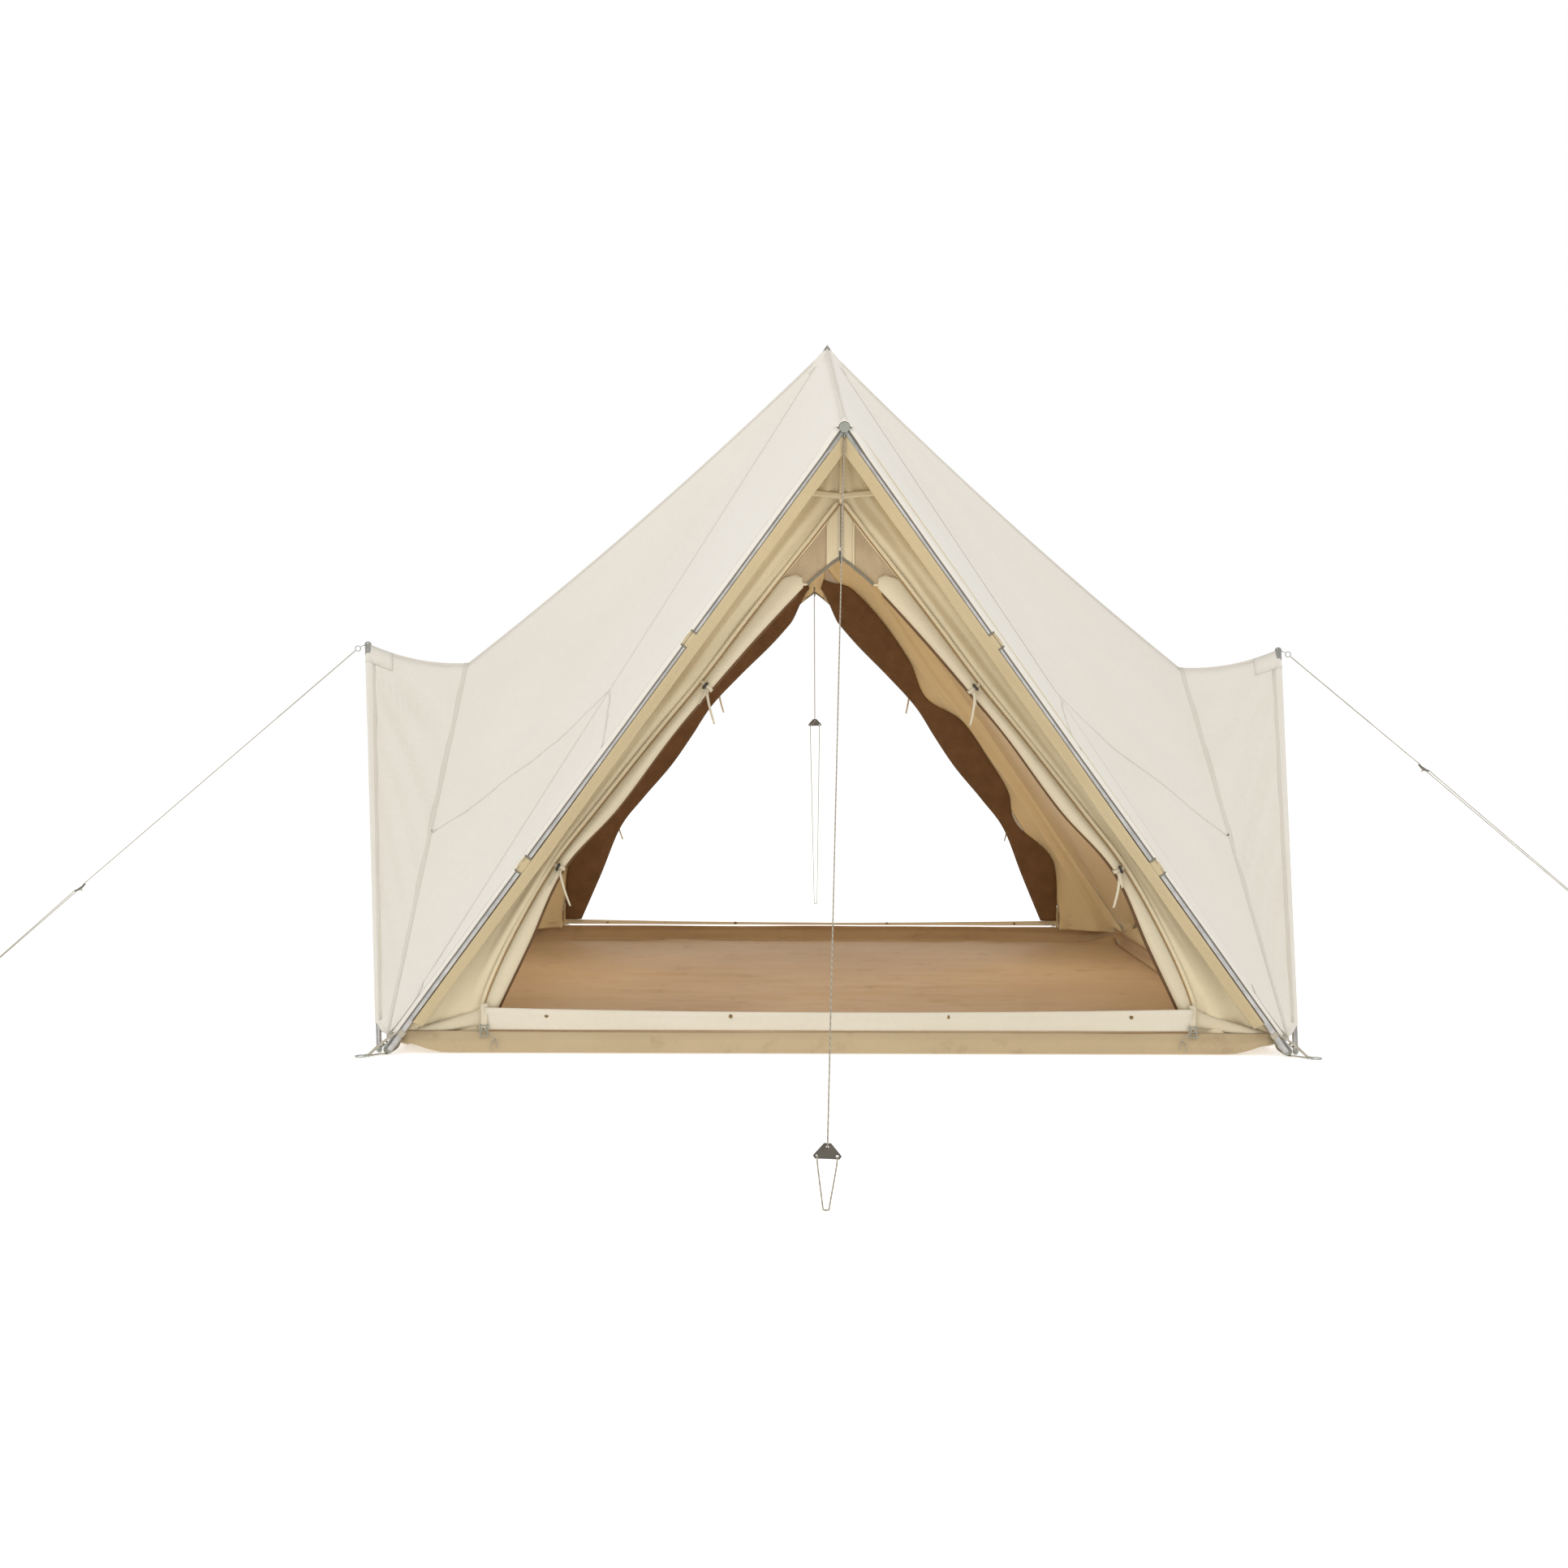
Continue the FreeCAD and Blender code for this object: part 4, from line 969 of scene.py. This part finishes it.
def rolled_doors():
    for sx, side in ((1, "right"), (-1, "left")):
        grid = off_gable(roll_rows(DOOR, WALL, 0.180, 0.55, 3.0 + sx, 0.004, shrink=0.003), -1)
        net = off_gable(roll_rows(DOOR, WALL, 0.20, 0.34, 8.0 + sx, -0.016, shrink=0.004, shift=0.009), -1)
        turned = [[Vector((p.x * sx, p.y, p.z)) for p in row] for row in grid]
        behind = [[Vector((p.x * sx, p.y, p.z)) for p in row] for row in net]
        solid_piece("rolled_door_" + side, [turned], "canvas", ["door_roll_" + side], [ROLL_CLOTH])
        # the rolled net's dark brown is painted shade
        solid_piece("rolled_door_net_" + side, [behind], "mesh", [], [NET_SHADED])
    nets, doors = [], []
    for sx in (1, -1):
        net = off_gable(roll_rows(NET_OUT, NET_IN, 0.02, 0.26, 4.0 + sx, -0.012, sides=16, grow=0.10), 1)
        door = off_gable(roll_rows(DOOR, WALL, 0.180, 0.5, 9.0 + sx, 0.012, shrink=0.003), 1)
        nets.append([[Vector((p.x * sx, p.y, p.z)) for p in row] for row in net])
        doors.append([[Vector((p.x * sx, p.y, p.z)) for p in row] for row in door])
    # the rear rolled nets' dark brown is painted shade
    solid_piece("rolled_rear_nets", nets, "mesh", ["net_rolls"], [NET_SHADED])
    solid_piece("rolled_rear_doors", doors, "canvas", [], [ROLL_CLOTH])


def zip_coils():
    # a coil zip up the centre strip: tape each side, coils 2.6 mm apart
    tapes, coils = [], []
    for end in (-1, 1):
        tapes.append((ribbon([(0.0, z) for z in line(1.742, 1.925, 16)], 0.020, 0.0050, end), False))
        for z in line(1.772, 1.923, 58):
            path = [on_gable(x, z + 0.0004 * abs(x) * 1000 / 2, 0.0075 + 0.0009 * math.cos(x * 900), end)
                    for x in line(-0.0026, 0.0026, 5)]
            coils.append(tube_along(path, 0.0010, 6))
    cloth("zip_tapes", tapes, "zip_chain", [], (TAPE, TAPE), thick=0.0006)
    solid_piece("zip_coils", coils, "zip_chain", ["zip_chains"], [ZIP_TEETH])


gable_walls()
gable_tapes()
door_heads()
zip_coils()
rolled_doors()


# ------------------------------------------------------------------ pole flaps and keeper loops
LEG_LENGTH = (HUB - FOOT).length
FLAP_IN = Vector((-LEG.z, 0, LEG.x)).normalized()
if FLAP_IN.x > 0:
    FLAP_IN.negate()
FLAP_N = LEG.cross(FLAP_IN).normalized()
if FLAP_N.y > 0:
    FLAP_N.negate()


def flap_rows(seed):
    # d is the distance inside the leg's axis; the flap ends where it meets its mirror image
    rows = []
    steps, cols = 110, 8
    for i in range(steps + 1):
        t = i / steps
        row = []
        for j in range(cols + 1):
            s = j / cols
            inside = (mix(0.0135, 0.0105, smooth((t - 0.30) / 0.20))
                      + s * (0.035 + 0.004 * wave(t * 14, seed=seed) + 0.004 * t))
            top = (0.004 - FOOT.x - FLAP_IN.x * inside) / LEG.x
            at = mix(0.13, top, t)
            curl = mix(0.0150, -0.010, smooth(s)) + 0.004 * wave(t * 20, s * 1.5, seed=seed + 1) * s
            curl += 0.0016 * math.sin(t * 90 - s * 5 + 4 * wave(t * 6, seed=seed)) * s
            row.append(FOOT + LEG * at + FLAP_IN * inside + FLAP_N * curl)
        rows.append(row)
    return rows


LEG_FRONT = LEG.cross(ROOF_N).normalized()
if LEG_FRONT.y > 0:
    LEG_FRONT.negate()


def roof_hem_rows(seed):
    # the roof's edge is turned round the front of the leg tube and stitched
    rows = []
    for i in range(121):
        t = i / 120
        at = mix(0.060, LEG_LENGTH - 0.014, t)
        flare = 0.007 * smooth((t - 0.955) / 0.03)
        row = []
        for j in range(8):
            reach = mix(56, 70, smooth((t - 0.30) / 0.20)) + 4 * wave(t * 12, seed=seed)
            turn = math.radians(mix(-6, reach, j / 7))
            out = mix(ROOF_OFF, LEG_R + 0.0022, smooth(j / 5)) + flare
            row.append(FOOT + LEG * at + ROOF_N * math.cos(turn) * out + LEG_FRONT * math.sin(turn) * out)
        rows.append(row)
    return rows


def pole_flaps():
    flaps, loops, ends, hems, hem_shadow_rows = [], [], [], [], []
    for number, (sx, sy) in enumerate(((1, 1), (-1, 1), (1, -1), (-1, -1))):
        odd = sx * sy < 0
        flaps.append((mirrored(flap_rows(1.0 + number), sx, sy), odd))
        hem = roof_hem_rows(4.0 + number)
        hems.append((mirrored(hem, sx, sy), not odd))
        # painted shadow: a thin dark strip along the hem's edge for the tube's shade and dark reflection
        # beside it
        edge = [[row[-1] + (row[-2] - row[-1]) * 0.6 + LEG_FRONT * 0.0010, row[-1] + LEG_FRONT * 0.0010,
                 row[-1] - ROOF_N * 0.0022 - LEG_FRONT * 0.0006] for row in hem]
        hem_shadow_rows.append((mirrored(edge, sx, sy), not odd))
        for at in (0.795, 1.760):
            path = [FOOT + LEG * (at + d) for d in line(-0.030, 0.030, 9)]
            radius = [LEG_R + 0.0030 + 0.0008 * math.sin(math.pi * k / 8) for k in range(9)]
            loops.append((mirrored(tube_along(path, radius, 20), sx, sy), odd))
            for shift in (-0.030, 0.030):
                path = [FOOT + LEG * (at + shift + d) for d in line(-0.0035, 0.0035, 4)]
                ends.append((mirrored(tube_along(path, LEG_R + 0.0034, 20), sx, sy), odd))
    # the flap strips' darker golden colour is painted shade
    cloth("pole_flap_strips", flaps, "canvas", ["pole_flaps"], (FLAP_CLOTH_SHADED, FLAP_CLOTH_SHADED), thick=0.0014,
          offset=0.0)
    cloth("roof_edge_hems", hems, "canvas", [], (CANVAS, CANVAS), thick=0.0010, offset=0.0)
    # the keeper loops take the flap's darker colour: painted shade
    cloth("pole_keeper_loops", loops, "canvas", [], (FLAP_CLOTH_SHADED, FLAP_CLOTH_SHADED), thick=0.0012)
    # the dark rings at the keeper loops' ends are painted shade
    cloth("pole_keeper_shaded_ends", ends, "canvas", [], (EDGE_SHADE_STRIP, EDGE_SHADE_STRIP), thick=0.0010)
    # the dark strip along the hem is painted shadow
    cloth("roof_edge_piping", hem_shadow_rows, "canvas", [], (HEM_SHADOW_LINE, HEM_SHADOW_LINE), thick=0.0012, offset=0.0)


def hub_hoods():
    # the end of the roof ridge is gathered round the hub's cap
    hoods = []
    facing = math.atan2(ROOF_N.x, ROOF_N.z)
    for sy in (1, -1):
        rows = []
        for r, ahead in ((0.0, -0.012), (0.0, 0.004), (0.25, 0.018), (0.55, 0.026), (0.85, 0.030),
                         (1.0, 0.030), (1.0, 0.022)):
            row = []
            for k in range(41):
                a = math.radians(-86 + 172 * k / 40)
                far = 0.0235 / max(math.cos(facing - abs(a)), 0.3) + 0.0008 * wave(a * 4, r * 2)
                row.append(HUB + Vector((math.sin(a), 0, math.cos(a))) * mix(far, 0.0205, r)
                           - Vector((0, ahead, 0)))
            rows.append(row)
        hoods.append((mirrored(rows, 1, sy), sy < 0))
    cloth("hub_hoods", hoods, "canvas", [], (CANVAS, CANVAS), thick=0.0012, offset=0.0)


pole_flaps()
hub_hoods()


# ------------------------------------------------------------------ corner straps and press studs
RING_HINGE = Vector((1.6254330, -1.5828789, 0.0049))
OUT = Vector((RING_HINGE.x - FOOT.x, RING_HINGE.y - FOOT.y, 0)).normalized()
OUT_ACROSS = Vector((-OUT.y, OUT.x, 0))


def strap_rows(path, across, width, ripple=0.0):
    # flat webbing along a path, its edges rolled very slightly
    rows = []
    for i, p in enumerate(path):
        a, b = path[max(i - 1, 0)], path[min(i + 1, len(path) - 1)]
        lift = across.cross((b - a).normalized())
        rows.append([p + across * width * s + lift * (0.0006 * (1 - 4 * s * s) + ripple * wave(i * 0.6, s))
                     for s in line(-0.5, 0.5, 5)])
    return rows


def corner_straps():
    straps, collars = [], []
    collar = FOOT + LEG * 0.075
    start = collar + OUT * (LEG_R + 0.004)
    drop = [through((start, start + OUT * 0.010 - Vector((0, 0, 0.006)),
                     mix(start, RING_HINGE, 0.5) + OUT * 0.004,
                     RING_HINGE - OUT * 0.004), t) for t in line(0.0, 1.0, 22)]
    turn = [RING_HINGE + OUT * math.cos(a) * 0.0032 + Vector((0, 0, math.sin(a) * 0.0032))
            for a in line(math.pi * 0.9, -math.pi * 0.8, 12)]
    foot = [through((RING_HINGE - OUT * 0.003 + Vector((0, 0, -0.0015)),
                     FOOT + OUT * 0.030 + Vector((0, 0, -0.0125)),
                     FOOT - Vector((0, 0, 0.0135)), Vector((1.538, -1.507, 0.020)),
                     Vector((1.526, -1.499, 0.052))), t)
            for t in line(0.0, 1.0, 26)]
    for sx in (1, -1):
        for sy in (1, -1):
            odd = sx * sy < 0
            for path, width in ((drop, 0.020), (turn, 0.018), (foot, 0.018)):
                straps.append((mirrored(strap_rows(path, OUT_ACROSS, width, 0.0006), sx, sy), odd))
            ring = [collar + LEG * d for d in line(-0.010, 0.010, 5)]
            collars.append((mirrored(tube_along(ring, LEG_R + 0.0016, 24), sx, sy), odd))
    cloth("corner_strap_webbing", straps, "webbing", ["corner_straps"], (WEBBING, WEBBING), thick=0.0014,
          offset=0.0)
    cloth("corner_strap_collars", collars, "webbing", [], (WEBBING, WEBBING), thick=0.0012)


def press_studs():
    # domed caps with a rolled rim
    domes = []
    for end in (-1, 1):
        for x in (-1.020, -0.380, 0.380, 1.020):
            high = 0.130 if end < 0 else 0.088
            rows = []
            for r, out in ((0.0002, 0.0046), (0.0020, 0.0044), (0.0042, 0.0036), (0.0052, 0.0026),
                           (0.0062, 0.0028), (0.0070, 0.0020), (0.0071, 0.0004), (0.0066, -0.0006)):
                rows.append([Vector((x + math.cos(a) * r, end * (FLOOR_Y + 0.0055 + out),
                                     high + math.sin(a) * r))
                             for a in (2 * math.pi * (k % 24) / 24 for k in range(25))])
            domes.append(rows)
    solid_piece("stud_domes", domes, "stud_metal", ["press_studs"], [BRASS])


corner_straps()
press_studs()


# ------------------------------------------------------------------ tub floor and sills
def crease(x, y):
    # folds left in a coated sheet by packing: long straight ridges and crumpled patches
    long_way = abs(wave(x * 1.1, y * 7.0, seed=2.0))
    short = abs(wave(x * 4.5 + y, y * 9.0, seed=4.0))
    ridge = (1 - smooth(long_way * 5)) * 0.0060 + (1 - smooth(short * 6)) * 0.0045
    return ridge + (wave(x * 2.0, y * 3.0, seed=6.0) + 0.6) * 0.004


def wall_bulge(h, along, seed):
    # tub wall, slack: it leans out to a crease half way up and back in above it
    high = mix(0.034, 0.052, smooth((1.52 - abs(along)) / 0.7)) + 0.004 * wave(along * 1.6, seed=seed + 2)
    base = 0.020 * smooth(h / 0.004) * (1 - h / TUB_H)
    lean = base + 0.010 * (h / high if h < high else max(1 - (h - high) / (TUB_H - high), 0.0))
    return lean + wave(along * 5, h * 20, seed=seed) * 0.004 * smooth(h / 0.02) * smooth((0.085 - h) / 0.02)


def tub():
    bm = bmesh.new()
    n = 110
    xs = [FLOOR_X * (2 * i / n - 1) for i in range(n + 1)]
    ys = [FLOOR_Y * (2 * i / n - 1) for i in range(n + 1)]
    rows = []
    for y in ys:
        near_y = smooth((FLOOR_Y - abs(y)) / 0.04)
        rows.append([Vector((x, y, 0.0006 + crease(x, y) * near_y * smooth((FLOOR_X - abs(x)) / 0.04)))
                     for x in xs])
    lay_grid(bm, rows)
    heights = [0.0006, 0.0025, 0.006] + line(0.012, TUB_H, 12)
    for sign in (-1, 1):
        wall = [[Vector((x, sign * (FLOOR_Y + wall_bulge(h, x, 3 + sign) * fade((x / FLOOR_X + 1) / 2, 0.03)),
                         h + wave(x * 3, seed=1) * 0.003 * h / TUB_H)) for x in xs] for h in heights]
        lay_grid(bm, wall, sign > 0)
        wall = [[Vector((sign * (FLOOR_X + wall_bulge(h, y, 6 + sign) * fade((y / FLOOR_Y + 1) / 2, 0.03)),
                         y, h))
                 for y in ys] for h in heights]
        lay_grid(bm, wall, sign < 0)
    bmesh.ops.remove_doubles(bm, verts=bm.verts, dist=0.0004)
    for vert in bm.verts:
        # the corners are strapped up off the ground
        away = math.hypot(FLOOR_X - abs(vert.co.x), FLOOR_Y - abs(vert.co.y))
        vert.co.z += 0.034 * smooth(1 - away / 0.16) * max(1 - vert.co.z / TUB_H, 0.0)
    bmesh.ops.recalc_face_normals(bm, faces=bm.faces)
    piece = object_from(bm, "tub_groundsheet", TUB_CLOTH, FLOOR_CLOTH)
    middle = piece.data.polygons[len(piece.data.polygons) // 3]
    if middle.normal.z > 0:
        piece.data.flip_normals()
    thicken(piece, 0.0012, inner=1, offset=-1.0)
    place(piece, "ground_fabric", "groundsheet")


def sill_rows(high, end, seed):
    rows = []
    for i in range(13):
        t = i / 12
        row = []
        for j in range(97):
            x = 1.236 * (j / 48 - 1)
            top = TUB_H + high - 0.014 * (1 - (x / 1.236) ** 2)
            z = mix(top, TUB_H + 0.006, t)
            out = 0.004 + wave(x * 4, t * 2, seed=seed) * 0.004 + 0.0025 * math.sin(math.pi * t)
            out += 0.004 * smooth((0.30 - t) / 0.06)
            row.append(Vector((x, end * (FLOOR_Y - 0.001 + out), z)))
        rows.append(row)
    return rows


def sills():
    grids = [(sill_rows(0.084, -1, 2.0), False), (sill_rows(0.030, 1, 3.0), True)]
    cloth("door_sills", grids, "sill_fabric", ["sill_bands"], (SILL_CLOTH, SILL_CLOTH), thick=0.0012)


tub()
sills()


# ------------------------------------------------------------------ ties, tapes and toggles
def tie_points():
    # middle of each tied place, its way across the roll and down it, as gable x, z
    found = []
    for i in TIE_AT:
        t = i / (len(DOOR) - 1)
        a, b = through(DOOR, t), through(WALL, t)
        found.append(((a + b) / 2, (b - a).normalized(), (b - a).length))
    return found


def band_round(centre, across, width, end, flat=0.6):
    # a 10 mm tape round the tied roll
    down = Vector((across.y, -across.x))
    rows = []
    for shift in line(-0.006, 0.006, 4):
        row = []
        for k in range(21):
            angle = 2 * math.pi * k / 20
            p = (centre + across * math.cos(angle) * (width / 2 + 0.003)
                 + down * (shift + 0.003 * math.sin(angle)))
            row.append(on_gable(p.x, p.y, math.sin(angle) * (width / 2 * flat + 0.006) + 0.004, end))
        rows.append(row)
    return rows


def tail(start, reach, drop, curl, end, wide=0.010, out=0.022):
    # a loose tape end hanging under its own weight
    rows = []
    for i in range(15):
        t = i / 14
        x = start.x + reach * t + curl * math.sin(t * 2.6)
        z = start.y - drop * (t ** 1.3)
        twist = 0.9 * t + 0.3
        row = []
        for s in (-0.5, -0.17, 0.17, 0.5):
            row.append(on_gable(x + s * wide * math.cos(twist * 0.7), z,
                                out + 0.010 * math.sin(t * 3) + s * wide
                                * math.sin(twist) * 0.6, end))
        rows.append(row)
    return rows


def ties():
    bands, tails, toggles = [], [], []
    for end in (-1, 1):
        for number, (centre, across, width) in enumerate(tie_points()):
            for sx in (1, -1):
                turned = Vector((centre.x * sx, centre.y))
                way = Vector((across.x * sx, across.y))
                bands.append((band_round(turned, way, width, end), sx * end > 0))
                lean = (-0.020 if sx > 0 else 0.034) * (1 + 0.3 * number)
                start = turned + Vector((0, -0.008))
                tails.append((tail(start, lean, 0.125, 0.008 * sx, end), sx * end > 0))
                tails.append((tail(start, lean * -0.7 - 0.006, 0.055, -0.006 * sx, end, out=0.026),
                              sx * end > 0))
                along = Vector((way.y, -way.x))
                place_at = turned + way * 0.004
                path = [on_gable(place_at.x + along.x * d, place_at.y + along.y * d, 0.030, end)
                        for d in line(-0.0155, 0.0155, 9)]
                radius = [0.0010, 0.0046, 0.0056, 0.0050, 0.0042, 0.0050, 0.0056, 0.0046, 0.0010]
                toggles.append(tube_along(path, radius, 10))
    cloth("tie_bands", bands, "webbing", [], (TAPE, TAPE), thick=0.001, offset=0.0)
    cloth("tie_tails", tails, "webbing", ["tie_tapes"], (TAPE, TAPE), thick=0.0008, offset=0.0)
    solid_piece("toggles", toggles, "dark_toggles", ["tie_toggles"], [TOGGLE])


ties()


def door_feet():
    # at each foot of a doorway: a webbing tab, a small ladder buckle and a knotted pull of narrow tape
    tabs, buckles, pulls = [], [], []
    for end in (-1, 1):
        for sx in (1, -1):
            tab = ribbon([(1.236 * sx, z) for z in line(0.172, 0.088, 9)], 0.024, 0.027, end, 0.0012)
            tabs.append((tab, sx * end < 0))
            for z in (0.096, 0.079, 0.062):
                bar = [on_gable(sx * (1.236 + x), z, 0.0315 + 0.001 * math.cos(x * 120), end)
                       for x in line(-0.013, 0.013, 9)]
                buckles.append(tube_along(bar, [0.0016] + [0.0024] * 7 + [0.0016], 8, flat=0.8))
            for x in (-0.0125, 0.0125):
                side = [on_gable(sx * 1.236 + x, z, 0.0315, end) for z in line(0.058, 0.100, 9)]
                buckles.append(tube_along(side, [0.0018] + [0.0026] * 7 + [0.0018], 8, flat=0.8))
            start = Vector((1.228 * sx, 0.082))
            pulls.append((tail(start, -0.036 * sx, 0.040, -0.004 * sx, end, 0.0045, 0.034), sx * end > 0))
            pulls.append((tail(start + Vector((-0.030 * sx, -0.034)), 0.008 * sx, 0.036, 0.006 * sx, end,
                               0.004, 0.036), sx * end > 0))
            pulls.append((tail(start + Vector((-0.030 * sx, -0.034)), -0.008 * sx, 0.030, -0.005 * sx, end,
                               0.004, 0.036), sx * end > 0))
    cloth("door_foot_tabs", tabs, "webbing", [], (TAPE, TAPE), thick=0.0014)
    solid_piece("door_foot_buckles", buckles, "grey_plastic", [], [PLASTIC])
    cloth("door_foot_pulls", pulls, "webbing", [], (CORD, CORD), thick=0.0016, offset=0.0)


door_feet()


# ------------------------------------------------------------------ finishes on the frame's own pieces
FINISH = {"aluminium_tube": TUBE, "steel_fittings": STEEL, "grey_plastic": PLASTIC, "dark_metal": DARK_METAL,
          "zip_metal": DARK_METAL, "stud_metal": BRASS, "webbing": WEBBING, "dark_toggles": TOGGLE}


def frame_finishes():
    for row in frame["record"]["subparts"]:
        node = frame["nodes"][row["node"]]
        finish = FINISH.get(row["material_slot"])
        if finish:
            for slot in node.material_slots:
                slot.material = finish


frame_finishes()
